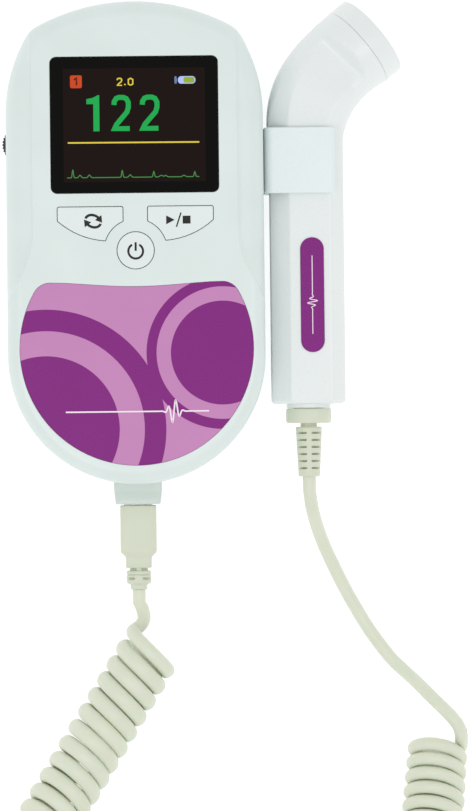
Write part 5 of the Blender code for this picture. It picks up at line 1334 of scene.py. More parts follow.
@dataclass
class FrontFilm:
    """The printed film below the keys, with a plain ripple motif."""

    radius: float = 32.6 * MM
    centre_y: float = -29.6 * MM
    top_y: float = -11.1 * MM
    dip: float = 1.2 * MM
    corner: float = 5 * MM
    face: float = 35 * MM
    thickness: float = 0.5 * MM
    ink: float = 0.014 * MM

    def outline(self, inset: float = 0.0) -> Array:
        """Most of a circle with a shallow dip across its top.

        Args:
            inset: How far inside the film's side it runs.

        Returns:
            The closed outline, with as many points for every inset.
        """
        corner_y = self.top_y - self.corner
        reach = self.radius - self.corner
        corner_x = math.sqrt(reach**2 - (corner_y - self.centre_y) ** 2)
        share = np.linspace(0, 1, 15)[:-1]
        y = self.top_y - inset - self.dip * (1 - share**2) ** 2
        lower = math.atan2(corner_y - self.centre_y, corner_x)
        bend = arc((corner_x, corner_y), self.corner - inset, QUARTER, lower, 12)
        side = arc((0, self.centre_y), self.radius - inset, lower, -QUARTER, 72)[1:]
        return mirrored(np.vstack([np.stack([corner_x * share, y], 1), bend, side]))

    def cutters(self, gap: float) -> list[Piece]:
        """What cuts the film's seat into the front."""
        return [slab("film_seat", self.outline(-gap), self.face - 0.8 * MM, self.face + 2 * MM)]

    def ring(self, centre: Pair, inner: float, outer: float) -> Piece:
        """A printed ring, trimmed to the film.

        Args:
            centre: Its middle, in millimetres.
            inner: Radius of its hole in millimetres, zero for a disc.
            outer: Its radius in millimetres.

        Returns:
            The flat ring.
        """
        low, high = self.face - 0.004 * MM, self.face + self.ink
        middle = (centre[0] * MM, centre[1] * MM)
        area = slab("ring", arc(middle, outer * MM, 0, TURN, 160)[:-1], low, high)
        if inner:
            hole = arc(middle, inner * MM, 0, TURN, 160)[:-1]
            carve(area, slab("hole", hole, low - MM, high + MM))
        trim = slab("trim", self.outline(0.02 * MM), low - MM, high + MM)
        return carve(area, trim, how="INTERSECT")

    def pulse(self) -> Array:
        """A level line with one short packet of waves: a sine under a bell.

        Returns:
            Rows of X and Y in metres.
        """
        x = np.linspace(-20, 20, 360)
        wave = 3.4 * np.sin((x - 10.2) * TURN / 2.1) * np.exp(-(((x - 10.2) / 1.6) ** 2))
        return np.stack([x, -47.2 + wave], 1) * MM

    def build(self) -> None:
        """Makes the film, its ripples and its line."""
        low = self.face - self.thickness
        film = slab("front_film", self.outline, low, self.face, 0, 0.08 * MM, 2)
        dress(film, FILM_PINK, "monitor", ["label_panel"])
        ripples = [
            self.ring((-25.5, -52), 0, 20.5),
            self.ring((-25.5, -52), 27.5, 33.5),
            self.ring((24, -31), 0, 14.5),
            self.ring((24, -31), 18.5, 21.3),
        ]
        first = carve(ripples[0], *ripples[1:], how="UNION")
        first.name = "film_ripples"
        dress(first, FILM_PURPLE, "monitor")
        low, high = self.face + self.ink, self.face + 2 * self.ink
        line = ribbon("film_line", self.pulse(), 0.42 * MM, low, high)
        dress(line, FILM_WHITE, "monitor")


@dataclass
class VolumeWheel:
    """The ribbed thumbwheel at the left edge."""

    x: float = -31.7 * MM
    y: float = 27.8 * MM
    low: float = 25.2 * MM
    thickness: float = 2.5 * MM
    radius: float = 5.3 * MM
    room: float = 0.4 * MM
    ribs: int = 36
    rib_depth: float = 0.32 * MM

    def cutters(self) -> list[Piece]:
        """What cuts the wheel's pocket and the finger scoop into the front.

        The scoop is a disc that reaches in from the case's side as far as its depth.

        Returns:
            The two cutting pieces.
        """
        low, high = self.low - self.room, self.low + self.thickness + self.room
        reach = self.radius + self.room
        pocket = rod("pocket", reach, (self.x, self.y, low), (self.x, self.y, high))
        case_side, depth, radius = 36, 0.8, 12
        x = -(case_side - depth + radius) * MM
        low, high = self.low - 1.5 * MM, self.low + self.thickness + 1.5 * MM
        disc = arc((x, self.y), radius * MM, 0, TURN, 120)[:-1]
        return [pocket, slab("scoop", disc, low, high, 1.2 * MM, 1.2 * MM, 5)]

    def build(self) -> None:
        """Makes the wheel: its radius swings as a flattened cosine round its rim."""
        rim = edge_profile(0, self.thickness, 0.35 * MM, 0.35 * MM, 4)
        profile = np.stack([self.radius - rim[:, 0], rim[:, 1]], 1)

        def ribbing(height: Array, angle: Array) -> Array:
            """Depth of the grooves between the ribs."""
            wave = 0.5 - 0.5 * np.cos(angle * self.ribs)
            return self.rib_depth * wave**1.5 + 0 * height

        foot, steps = (self.x, self.y, self.low), 8 * self.ribs
        wheel = turned("thumbwheel", profile, foot, (0, 0, 1), steps, ribbing)
        bore = rod("bore", 1.8 * MM, (self.x, self.y, 24 * MM), (self.x, self.y, 29 * MM))
        carve(wheel, bore)
        dress(wheel, WHEEL_ABS, "volume_wheel", ["volume_wheel"])


# Probe and holder


@dataclass
class ProbeHolder:
    """The C-shaped holder on the right side, measured in millimetres."""

    left: float = 36.3
    right: float = 56.2
    middle_z: float = 14.0
    inner: float = 10.65
    arm: float = 1.8
    web: float = 1.3
    low_y: float = 13.5
    high_y: float = 32.0
    soft: float = 0.32

    def side(self, inset: float, far: float, drop: float, radius: float) -> Array:
        """One side of the bent strip, from lip to lip, as X and Z in metres.

        Args:
            inset: How far inside the left edge the web's line runs.
            far: Distance of the arms' line from the middle, in millimetres.
            drop: How far the line falls towards the lip, in millimetres.
            radius: Radius of the two bends.

        Returns:
            The line, with equally many points for either side.
        """
        bend, lip, left = self.right - 1.9, self.right - 0.25, self.left + inset
        upper = [(lip, far - drop), (bend, far), (left, far)]
        lower = [(x, -height) for x, height in reversed(upper)]
        radii = np.array([0, 0, radius, radius, 0, 0]) * MM
        return fillet((np.array(upper + lower) + (0, self.middle_z)) * MM, radii, 8)

    def across(self, outer: Array, inner: Array, inset: float, shift: float) -> Array:
        """A ring round the strip: a rounded oblong from its outer to its inner side.

        Args:
            outer: X and Z of the outer side.
            inner: X and Z of the inner side.
            inset: How far inside the strip it runs, in millimetres.
            shift: How far it is moved along X, in millimetres.

        Returns:
            The ring's points.
        """
        low, high = (self.low_y + inset) * MM, (self.high_y - inset) * MM
        span = float(np.linalg.norm(inner - outer))
        start, end = inset * MM, span - inset * MM
        corners = [(start, low), (end, low), (end, high), (start, high)]
        flat = fillet(corners, (self.soft - inset) * MM, 4)
        place = outer + (inner - outer) / span * flat[:, :1] + (shift * MM, 0)
        return np.column_stack([place[:, 0], flat[:, 1], place[:, 1]])

    def build(self) -> None:
        """Carries the rings along the bent strip, with soft edges and lips."""
        outer = self.side(0, self.inner + self.arm, 0.7, 2.9)
        inner = self.side(self.web, self.inner, 0, 1.6)
        rings = [self.across(one, two, 0, 0) for one, two in zip(outer, inner)]
        rings.insert(0, self.across(outer[0], inner[0], 0.22, 0.25))
        rings.append(self.across(outer[-1], inner[-1], 0.22, 0.25))
        clip = skin("side_clip", np.array(rings))
        low, high = self.middle_z - 9, self.middle_z + 9
        pad = block("pad", np.array((36.05, 14, low)) * MM, np.array((37, 31, high)) * MM)
        carve(clip, pad, how="UNION")
        even_normals(dress(clip, HOLDER_ABS_PAINTED_LIGHT, "monitor", ["probe_holder"]))


@dataclass
class Probe:
    """The probe: two shells of a faceted handle that bends and turns into a round head."""

    x: float = 48.25 * MM
    z: float = 14 * MM
    half: float = 10.35 * MM
    foot: float = -45.6 * MM
    wall: float = 1.8 * MM
    head_wall: float = 1.3 * MM
    head: float = 12.4 * MM
    head_angle: float = math.radians(50.4)
    head_tilt: float = math.radians(10)
    seam: Pair = (63.05 * MM, 54.5 * MM)
    facets: tuple[tuple[float, float, float, float], ...] = (
        (0, 10.35, 0.0, 1.0), (45, 12.1, 0.2, 0.7), (90, 10.35, 0.78, 0.9),
        (125, 11.26, 0.0, 0.68), (180, 10.35, 0.0, 1.0), (235, 11.26, 0.0, 0.68),
        (270, 10.35, 0.72, 0.92), (315, 12.1, 0.2, 0.7),
    )
    power: float = 90
    dip: float = 1.1
    foot_ease: float = 1.3 * MM
    foot_rings: int = 5
    ring_counts: tuple[int, int] = (14, 56)
    near_edge: tuple[float, ...] = (-3.6, -2.2, -1.2, -0.4, 0.4, 1.2, 2.2, 3.6)
    neck: float = 4.5 * MM
    seam_lift: float = 0.15 * MM
    label_half: Pair = (3.25 * MM, 16.05 * MM)
    label_shift: float = 1.2

    def edges(self) -> Array:
        """Degrees at which two facets of the handle meet.

        Two planes at angles a and b and distances c and d cross at the point with X of
        c sin b less d sin a and Y of d cos a less c cos b, both over the sine of b - a.

        Returns:
            One angle for each pair of neighbours.
        """
        turn, far = np.array(self.facets)[:, :2].T
        turn = np.radians(turn)
        following, beyond = np.roll(turn, -1), np.roll(far, -1)
        x = far * np.sin(following) - beyond * np.sin(turn)
        y = beyond * np.cos(turn) - far * np.cos(following)
        return np.degrees(np.arctan2(y, x)) % 360

    def way(self) -> Array:
        """The head's way as seen from the front."""
        return np.array((math.sin(self.head_angle), math.cos(self.head_angle)))

    def axis(self) -> Place:
        """The head's axis, which leans back from the front."""
        flat = self.way() * math.cos(self.head_tilt)
        return (float(flat[0]), float(flat[1]), -math.sin(self.head_tilt))

    def centre(self) -> Place:
        """The middle of the head's seam."""
        return (self.seam[0], self.seam[1], self.z)

    def sides(self, inset: float, steps: int) -> tuple[Array, Array]:
        """The two sides of the bend, each a cubic curve from handle to seam.

        Args:
            inset: Zero for the outside, or the wall.
            steps: Steps along each curve.

        Returns:
            The left side and the right side.
        """
        way = self.way()
        across = np.array((way[1], -way[0]))
        half = self.half - inset
        head = self.head - (self.head_wall if inset else 0)
        flare = math.radians(64)
        ending = np.array((math.sin(flare), math.cos(flare)))
        seam = np.array(self.seam)
        first, last = seam - across * head, seam + across * head
        start, handle = (self.x - half - 0.5 * MM, 31 * MM), (self.x - half - 1.3 * MM, 46 * MM)
        left = bezier([start, handle, first - way * 14 * MM, first], steps)
        start, handle = (self.x + half, 27 * MM), (self.x + half, 33.5 * MM)
        return left, bezier([start, handle, last - ending * 9 * MM, last], steps)

    def section(self, angle: Array, share: Array, half: Array, inset: float) -> Array:
        """How far the probe reaches at each angle, for each share of the bend.

        Each facet is a plane at its distance over the cosine of the angle to it. The
        distances swell along the bend until only the circle of the head is left. The
        reach is the smallest of all, rounded at the edges by a power norm.

        Args:
            angle: Angles of the points of a ring.
            share: Share of the bend at each ring, zero in the handle.
            half: Half the width at each ring.
            inset: Zero for the outside, or the wall.

        Returns:
            Reach by ring and angle, in metres.
        """
        total = np.zeros((len(share), len(angle)))
        head = (self.head - (self.head_wall if inset else 0)) / MM
        wide = half / MM
        for turn, distance, begin, finish in self.facets:
            swell = smooth_step(share, begin, finish)
            far = np.maximum(head, wide) + 0.5
            plane = distance - inset / MM + (far - distance + inset / MM) * swell
            if turn in (0, 180):
                plane = wide
            if turn == 90:
                sink = smooth_step((share - 0.4) / 0.38)
                plane = plane - self.dip * sink * (1 - swell)
            toward = np.clip(np.cos(angle - math.radians(turn)), 0, None)
            total += (toward[None] / plane[:, None]) ** self.power
        total += (1 / (np.maximum(head, wide) + 0.03))[:, None] ** self.power
        return total ** (-1 / self.power) * MM

    def rings(self, angle: Array, inset: float, reach_shift: float = 0.0) -> Array:
        """Rings of the probe from its foot to the head's seam.

        Args:
            angle: Angles of the points of a ring.
            inset: Zero for the outside, or the wall.
            reach_shift: How far past the seam the last ring lies.

        Returns:
            Array of rings, points and X, Y, Z.
        """
        half = self.half - inset
        low, bend = self.ring_counts
        straight = np.linspace(self.foot, 20 * MM, low)
        bend_left, bend_right = self.sides(inset, bend)
        left = np.vstack([np.column_stack([np.full(low, self.x - half), straight]), bend_left])
        right = np.vstack([np.column_stack([np.full(low, self.x + half), straight]), bend_right])
        share = np.concatenate([np.zeros(low), np.linspace(0, 1, bend + 1)])
        if reach_shift:
            shift = self.way() * reach_shift
            left, right = np.vstack([left, left[-1] + shift]), np.vstack([right, right[-1] + shift])
            share = np.append(share, 1.0)
        roundness = smooth_step(share)
        middle, radius = (left + right) / 2, (right - left) / 2
        half_width = np.linalg.norm(radius, axis=1)
        reach = self.section(angle, share, half_width, inset)
        sideways = radius / half_width[:, None]
        rise = reach * np.sin(angle)
        lean = rise * math.sin(self.head_tilt) * roundness[:, None]
        flat = middle[:, None] + sideways[:, None] * (reach * np.cos(angle))[..., None]
        flat = flat + self.way() * lean[..., None]
        squeeze = 1 - (1 - math.cos(self.head_tilt)) * roundness[:, None]
        return np.dstack([flat, self.z + rise * squeeze])

    def shell(self, name: str, front: bool) -> Piece:
        """One half: the outside over half a turn, and the inside back again.

        Args:
            name: The piece's name.
            front: True for the half towards the screen's side.

        Returns:
            The hollow half, with its foot drawn in and an opening for the lead.
        """
        sign = 1 if front else -1
        near_edges = np.add.outer(self.edges(), self.near_edge).ravel()
        degrees = np.unique(np.concatenate([np.arange(0, 361, 6.0), near_edges]))
        angle = np.radians(degrees[degrees <= 180] if front else degrees[degrees >= 180])
        outer, inner = self.rings(angle, 0.0), self.rings(angle, self.wall)
        middle = np.array((self.x, 0, self.z))
        foot_rows = []
        for step in np.linspace(0, 1, self.foot_rings + 1)[:-1]:
            draw = self.foot_ease * (1 - math.sqrt(1 - (1 - step) ** 2))
            ring = middle + (outer[0] - middle) * (1 - draw / self.half)
            ring[:, 1] = self.foot + self.foot_ease * step
            foot_rows.append(ring)
        second = outer[0].copy()
        second[:, 1] = self.foot + self.foot_ease
        outer = np.concatenate([np.array(foot_rows), second[None], outer[1:]])
        inner_rows = []
        for k, y in enumerate(outer[:, 0, 1]):
            row = inner[max(k - self.foot_rings, 0)]
            if y < self.foot + self.wall:
                row = middle + self.neck * np.stack([np.cos(angle), 0 * angle, np.sin(angle)], 1)
                row[:, 1] = y
            inner_rows.append(row)
        inner = np.array(inner_rows)
        for rows in (outer, inner):
            height = rows[..., 2] - self.z
            rows[..., 2] = self.z + sign * np.maximum(sign * height, self.seam_lift)
        return skin(name, np.concatenate([outer, inner[:, ::-1]], axis=1))

    def label_outline(self, margin: float = 0.0) -> Array:
        """The long label on the handle's front, a pill shape with some margin round it."""
        wide, tall = (half + margin for half in self.label_half)
        middle = (self.x + self.label_shift * MM, -15.0 * MM)
        return fillet(box_corners((-wide, -tall), (wide, tall)), wide - 0.02 * MM, 14) + middle

    def head_pieces(self) -> None:
        """The rim and the domed sound face, turned about the leaning axis."""
        rim = self.head
        curve = arc((rim - 0.6 * MM, 5.1 * MM), 0.6 * MM, 0, QUARTER, 7)
        foot = np.array([(9.6, -2), (9.9, -2), (9.9, 0.1)]) * MM
        seam = [(rim - 0.12 * MM, 0.1 * MM), (rim, 0.22 * MM)]
        seat = np.array([(11.45, 5.7), (11.4, 3.05), (9.6, 3.0)]) * MM
        profile = np.vstack([foot, seam, curve, seat, foot[:1]])
        ring = ring_solid("head_rim", profile, self.centre(), self.axis(), 96)
        dress(ring, PROBE_ABS, "probe", ["probe_head_ring"])
        share = np.linspace(1, 0.02, 14)
        dome = np.stack([11.2 * MM * share, (5.6 + 1.0 * (1 - share**2)) * MM], 1)
        profile = np.vstack([np.array([(11.0, 3.3), (11.2, 3.4)]) * MM, dome])
        lens = turned("sound_face", profile, self.centre(), self.axis(), 96)
        dress(lens, FACE_RUBBER, "probe", ["probe_lens"])

    def cable_end(self) -> None:
        """The cream collar and the slotted strain relief at the handle's foot."""
        down = (0, -1, 0)
        rim = edge_profile(0, 4.15 * MM, 0.5 * MM, 0.6 * MM, 4)
        profile = np.stack([6.35 * MM - rim[:, 0], rim[:, 1]], 1)
        collar = turned("lead_collar", profile, (self.x, self.foot - 1.25 * MM, self.z), down)
        for radius, top, end in ((4.2, 3.3, -2.0), (2.3, -5.0, -6.4)):
            start, finish = ((self.x, self.foot + y * MM, self.z) for y in (top, end))
            carve(collar, rod("neck", radius * MM, start, finish), how="UNION")
        dress(collar, PVC_CREAM, "probe", ["probe_collar"])
        profile = [(4.4, -0.6), (6.2, -0.6), (6.2, 0.9), (5.9, 1.15), (4.4, 1.15), (4.4, -0.6)]
        foot = (self.x, self.foot, self.z)
        nose = ring_solid("handle_nose", np.array(profile) * MM, foot, down, 96)
        dress(nose, PROBE_ABS, "probe")
        top, radii = (self.x, self.foot - 6.45 * MM, self.z), (3.7 * MM, 3.0 * MM)
        slots = [1.7 + 1.98 * k for k in range(6)]
        relief = strain_relief("probe_relief", top, 14.0 * MM, radii, slots, 0.5 * MM, 1.5 * MM)
        dress(relief, PVC_CREAM, "probe", ["probe_boot"])

    def build(self) -> None:
        """Makes every piece of the probe."""
        front = self.shell("handle_front", True)
        face = self.z + self.half
        seat = slab("label_seat", self.label_outline(0.08 * MM), face - 0.5 * MM, face + 1 * MM)
        carve(front, seat)
        even_normals(dress(front, PROBE_ABS, "probe", ["probe_front_shell"], 28))
        back = self.shell("handle_back", False)
        even_normals(dress(back, PROBE_ABS, "probe", ["probe_rear_shell"], 28))
        self.head_pieces()
        low = face - 0.2 * MM
        label = slab("handle_label", self.label_outline(), low, low + 0.5 * MM, 0, 0.12 * MM, 3)
        dress(label, FILM_PURPLE, "probe", ["probe_label"])
        y = np.linspace(-26, -4, 240)
        packet = 1.5 * np.sin((y + 17) * TURN / 1.3) * np.exp(-(((y + 17) / 1.2) ** 2))
        line = np.stack([(self.x / MM + self.label_shift) + packet, y], 1) * MM
        top = low + 0.5 * MM
        wave = ribbon("handle_label_line", line, 0.24 * MM, top, top + 0.014 * MM)
        dress(wave, FILM_WHITE, "probe")
        self.cable_end()


def strain_relief(
    name: str, top: Sequence[float], length: float, radii: Pair,
    slots: Sequence[float], slot_height: float, slot_depth: float,
) -> Piece:
    """A tapered sleeve with rows of slots at both sides of a spine, front and back.

    The radius falls evenly along the sleeve. Within a slot's height it loses the slot's
    depth, times a share that is zero over the spines and at the outermost sides.

    Args:
        name: The piece's name.
        top: Middle of its upper end.
        length: Its length, downwards along Y.
        radii: Radius at the top and at the end.
        slots: Middle of each row of slots, in millimetres from the top.
        slot_height: Height of a slot.
        slot_depth: Depth of a slot.

    Returns:
        The closed piece.
    """
    edges = [0.0, 0.25 * MM, length - 0.3 * MM, length]
    for middle in slots:
        edges += [middle * MM + away * slot_height for away in (-0.56, -0.44, 0.44, 0.56)]
    height = np.array(sorted(edges))
    radius = radii[0] + (radii[1] - radii[0]) * height / length
    radius[0] -= 0.25 * MM
    radius[-1] -= 0.3 * MM

    def slotting(along: Array, angle: Array) -> Array:
        """What the slots take off the radius.

        Args:
            along: Heights on the sleeve.
            angle: Angles round it.

        Returns:
            The depth taken off at each.
        """
        inside = np.zeros_like(along)
        for middle in slots:
            inside = inside + (np.abs(along - middle * MM) < 0.5 * slot_height)
        side = np.abs(np.cos(angle))
        share = np.clip((side - 0.24) / 0.06, 0, 1) * np.clip((0.93 - side) / 0.05, 0, 1)
        return slot_depth * inside * share

    return turned(name, np.stack([radius, height], 1), top, (0, -1, 0), 96, slotting)


# Plug and lead


@dataclass
class Plug:
    """The cream plug at the monitor's foot, whose face lies at this Y in millimetres."""

    face: float = -73.7
    height: float = 8.2 * MM

    def build(self) -> None:
        """Makes the moulded body and its short strain relief."""
        y = self.face
        rows = [
            (y, 4.85, 3.55), (y - 0.1, 5.0, 3.7), (y - 0.35, 5.1, 3.8), (y - 12.8, 5.1, 3.8),
            (y - 13.3, 4.95, 3.68), (y - 14.35, 3.85, 3.1), (y - 14.7, 3.68, 2.95),
            (y - 15.1, 3.65, 2.9), (y - 17.3, 3.65, 2.9), (y - 17.55, 3.5, 2.75),
            (y - 17.6, 3.2, 2.5),
        ]
        body = skin("plug_grip", oblong_rings(rows, (0, self.height), 9))
        carve(body, middle_block("pocket", 4.3 * MM, (-77.7 * MM, -70 * MM), (6.2 * MM, 10.2 * MM)))
        dress(body, PVC_CREAM, "plug", ["plug_body"])
        profile = [
            (2.5, -0.26), (2.55, -0.2), (2.55, 0.75), (3.3, 0.85), (3.5, 1.1), (3.5, 1.75),
            (3.2, 1.82), (3.2, 2.05), (3.5, 2.12), (3.45, 3.9), (3.3, 4.3), (2.5, 4.7),
            (2.35, 4.85), (2.3, 5.9), (2.1, 6.14),
        ]
        dense = densified(np.array(profile), 4) * MM

        def holes(along: Array, angle: Array) -> Array:
            """Two rows of small pits at both sides of a spine.

            Args:
                along: Heights on the relief.
                angle: Angles round it.

            Returns:
                The depth taken off at each.
            """
            side = np.clip((np.abs(np.cos(angle)) - 0.3) / 0.12, 0, 1)
            side = side * np.clip((0.93 - np.abs(np.cos(angle))) / 0.08, 0, 1)
            upper = np.abs(along - 0.42 * MM) < 0.26 * MM
            lower = np.abs(along - 3.0 * MM) < 0.34 * MM
            return side * (upper * 0.7 + lower * 0.9) * MM

        top = (0, (y - 17.6) * MM, self.height)
        relief = turned("plug_relief", dense, top, (0, -1, 0), 96, holes)
        dress(relief, PVC_CREAM, "plug", ["plug_boot"], 40)


def densified(line: Array, parts: int) -> Array:
    """Splits each step of an open line into equal parts.

    Args:
        line: Rows of points.
        parts: Parts of each step.

    Returns:
        The line with its new points.
    """
    share = np.arange(parts)[None, :, None] / parts
    split = line[:-1, None] + (line[1:] - line[:-1])[:, None] * share
    return np.vstack([split.reshape(-1, line.shape[1]), line[-1:]])


@dataclass
class CurlyLead:
    """The cord from the probe to the plug, curled in its middle, in metres.

    Its straight routes are the CAD's. The curls begin about one curl nearer the plug than
    the CAD's do, are a little wider and lean. Each row of their shape is a share of the
    whole coil, the curl's radius, half the cord's breadth, and the lean and the twist in
    degrees.
    """

    radius: float = 0.00185
    lift: float = 0.0002
    turn_radius: float = 0.032
    start: Pair = (0.00363, -0.11367)
    start_heading: float = math.radians(-121.6)
    end_heading: float = math.radians(85)
    pitches: Place = (0.0052, 0.0065, 0.0041)
    lengths: Place = (0.0595, 0.0486, 0.0437)
    curl_shape: tuple[tuple[float, float, float, float, float], ...] = (
        (0.00, 0.0072, 0.00185, 0, 8), (0.02, 0.0072, 0.00235, 0, 8),
        (0.10, 0.0072, 0.00235, -4, 8), (0.16, 0.0072, 0.00235, -14, 6),
        (0.24, 0.0072, 0.00230, -22, 4), (0.34, 0.00635, 0.00200, -18, 0),
        (0.60, 0.00635, 0.00200, 18, 0), (0.76, 0.00635, 0.00184, 24, 0),
        (0.88, 0.0071, 0.00184, 26, 0), (1.00, 0.0066, 0.00184, 24, 0),
    )
    start_phase: float = math.radians(185)
    end_phase: float = math.radians(170)
    curl_steps: int = 24
    plug_exit: Place = (0.0, -0.0975, 0.0082)
    probe_exit: Place = (0.04825, -0.0661, 0.014)
    plug_route: tuple[Place, ...] = (
        (0.0008, -0.1026, 0.0079), (0.0011, -0.1038, 0.0074),
    )
    probe_route: tuple[Place, ...] = (
        (0.0489, -0.0745, 0.0123), (0.0502, -0.0795, 0.0085), (0.0522, -0.0850, 0.0045),
        (0.0546, -0.0904, 0.0024), (0.0583, -0.0980, 0.00205), (0.0619, -0.1045, 0.00205),
        (0.0650, -0.1096, 0.00205), (0.0679, -0.1137, 0.00205), (0.0710, -0.1177, 0.0022),
        (0.0737, -0.1204, 0.0034), (0.0764, -0.1229, 0.0060), (0.0790, -0.1254, 0.0093),
        (0.0814, -0.1279, 0.0119), (0.0838, -0.1303, 0.0132),
    )

    def smooth(self, places: Points, step: float) -> Array:
        """Even points on a curve through places, each span a cubic with shared slopes.

        Args:
            places: The given points.
            step: Spacing of the points that it gives.

        Returns:
            Rows of X, Y and Z.
        """
        rows = np.asarray(places, float)
        row = np.vstack([2 * rows[0] - rows[1], rows, 2 * rows[-1] - rows[-2]])
        t = np.linspace(0, 1, 20, endpoint=False)[:, None]
        spans = []
        for k in range(1, len(row) - 2):
            a, b, c, d = row[k - 1 : k + 3]
            bend, twist = a - 5 / 2 * b + 2 * c - d / 2, (3 * (b - c) + d - a) / 2
            spans.append(b + (c - a) / 2 * t + bend * t**2 + twist * t**3)
        fine = np.vstack([*spans, rows[-1:]])
        run = run_along(fine)
        at = np.linspace(0, run[-1], max(round(run[-1] / step), 2) + 1)
        return np.stack([np.interp(at, run, fine[:, k]) for k in range(3)], 1)

    def stretch(self, exit_point: Sequence[float], route: Points) -> Array:
        """A lead that leaves straight down for one diameter, then follows its route."""
        straight = (exit_point[0], exit_point[1] - 2 * self.radius, exit_point[2])
        return np.vstack([exit_point, self.smooth([straight, *route], 0.0012)])

    def axis(self) -> Array:
        """The line that the curls go round.

        Heading changes evenly in the two turns and stays in the three straight runs. The
        line is the running sum of its steps, and the curls so far that of step over pitch.

        Returns:
            Rows of X, Y, heading and count of curls.
        """
        near, floor, far = self.lengths
        pitch_near, pitch_loop, pitch_far = self.pitches
        runs = (
            (near, 0.0, pitch_near),
            (-self.turn_radius * self.start_heading, -self.start_heading, pitch_loop),
            (floor, 0.0, pitch_loop),
            (self.turn_radius * self.end_heading, self.end_heading, pitch_loop),
            (far, 0.0, pitch_far),
        )
        steps, turns, counts = [], [], []
        for length, turn, pitch in runs:
            parts = math.ceil(length / 0.0003)
            steps.append(np.full(parts, length / parts))
            turns.append(np.full(parts, turn / parts))
            counts.append(np.full(parts, length / parts / pitch))
        step, turn, count = (np.concatenate(rows) for rows in (steps, turns, counts))
        heading = self.start_heading + np.concatenate([[0], np.cumsum(turn)])
        middle = heading[:-1] + turn / 2
        x = self.start[0] + np.concatenate([[0], np.cumsum(step * np.cos(middle))])
        y = self.start[1] + np.concatenate([[0], np.cumsum(step * np.sin(middle))])
        return np.stack([x, y, heading, np.concatenate([[0], np.cumsum(count)])], 1)

    def curls(self) -> tuple[Array, Array, Array]:
        """A left-handed helix round the axis, whose curls lean over a little.

        A point lies at the axis, plus the curl's radius times the cosine of its phase to
        the left and times the sine up. The phase falls by one turn a curl. Up leans along
        the axis, and curls rest on the floor.

        Returns:
            The points, the axis points beside them and half the cord's breadth there.
        """
        rows = self.axis()
        extra = (self.start_phase - self.end_phase) / TURN
        total = math.floor(rows[-1, 3] - extra) + extra
        at = np.linspace(0, total, round(total * self.curl_steps) + 1)
        x, y, heading = (np.interp(at, rows[:, 3], rows[:, k]) for k in range(3))
        share, *shape = np.array(self.curl_shape).T
        curl, breadth, lean, twist = (np.interp(at / total, share, row) for row in shape)
        lean, sideways = np.radians(lean), heading - np.radians(twist)
        phase = self.start_phase - TURN * at
        side, rise = curl * np.cos(phase), curl * np.sin(phase)
        beside = np.stack([x, y, curl * np.cos(lean) + self.radius + self.lift], 1)
        left = np.stack([-np.sin(sideways), np.cos(sideways), 0 * x], 1)
        ahead = np.stack([np.cos(heading), np.sin(heading), 0 * x], 1) * np.sin(lean)[:, None]
        upward = ahead + np.cos(lean)[:, None] * (0, 0, 1)
        return beside + left * side[:, None] + upward * rise[:, None], beside, breadth

    def plug_path(self, far: Array) -> tuple[Array, Array, Array]:
        """The whole line from the plug to the end of the curls.

        Args:
            far: The probe's stretch, which it meets.

        Returns:
            The points, the points of the curls' axis beside them and half the breadth.
        """
        near = self.stretch(self.plug_exit, self.plug_route)
        curls, beside, breadth = self.curls()
        way_in = unit(near[-1] - near[-2])
        way_out = unit(far[-2] - far[-1])
        first, last = unit(curls[1] - curls[0]), unit(curls[-1] - curls[-2])
        begin, entry, leave = near[-1], curls[0], curls[-1]
        finish = far[-1] - way_out * 2 * self.radius
        lead_in = bezier([begin, begin + way_in * 0.0045, entry - first * 0.0035, entry], 16)
        lead_out = bezier([leave, leave + last * 0.006, finish - way_out * 0.006, finish], 16)
        path = np.vstack([near[:-1], lead_in[:-1], curls, lead_out[1:], far[-1:]])
        before = unit(beside[0] - beside[1]) * np.linspace(0.022, 0.0005, len(near) + 15)[:, None]
        after = unit(beside[-1] - beside[-2]) * np.linspace(0.0005, 0.009, 17)[:, None]
        axis = np.vstack([beside[0] + before, beside, beside[-1] + after])
        plain = [np.full(len(rows), self.radius) for rows in (before, after)]
        return path, axis, np.concatenate([plain[0], breadth, plain[1]])

    def build(self) -> None:
        far = self.stretch(self.probe_exit, self.probe_route)
        path, axis, breadth = self.plug_path(far)
        curly = cord_tube("lead_curls", path, path - axis, self.radius, breadth)
        dress(curly, CORD_PU, None, ["cord_coil", "cord_lead_monitor"], 60)
        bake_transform(curly)
        sideways = np.broadcast_to((1.0, 0.0, 0.0), far.shape)
        straight = cord_tube("lead_straight", far, sideways, self.radius)
        dress(straight, CORD_PU, None, ["cord_lead_probe"], 60)
        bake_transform(straight)


def cord_tube(
    name: str, path: Array, beside: Array, radius: float,
    breadth: Array | None = None, sides: int = 16,
) -> Piece:
    """A cord: its ring lies square to the path, turned by a vector beside it.

    Args:
        name: The piece's name.
        path: Points of the centre line.
        beside: A vector at each point that never points along the path.
        radius: The cord's radius.
        breadth: Half its breadth across that vector at each point, where it is oval.
        sides: Points round the cord.

    Returns:
        The closed tube, with a map of turns and of lengths along it.
    """
    ahead = units(np.gradient(path, axis=0))
    side = units(np.cross(ahead, beside))
    up = np.cross(side, ahead)
    angle = np.arange(sides) * TURN / sides
    wide = np.full(len(path), radius) if breadth is None else breadth
    across, rise = np.outer(wide, np.cos(angle)), radius * np.sin(angle)
    around = across[..., None] * side[:, None] + rise[None, :, None] * up[:, None]
    piece = skin(name, path[:, None] + around)
    run, mesh = run_along(path), piece.data
    corner = np.empty(len(mesh.loops), dtype=np.int32)
    mesh.loops.foreach_get("vertex_index", corner)
    across = np.abs(corner % sides / sides - 0.5) * 2
    along = run[np.minimum(corner // sides, len(path) - 1)] / (TURN * radius)
    layer = mesh.uv_layers.new(name="cord_map")
    layer.data.foreach_set("uv", np.stack([across, along], 1).ravel())
    return piece


# CAD nodes that stay, and the studio

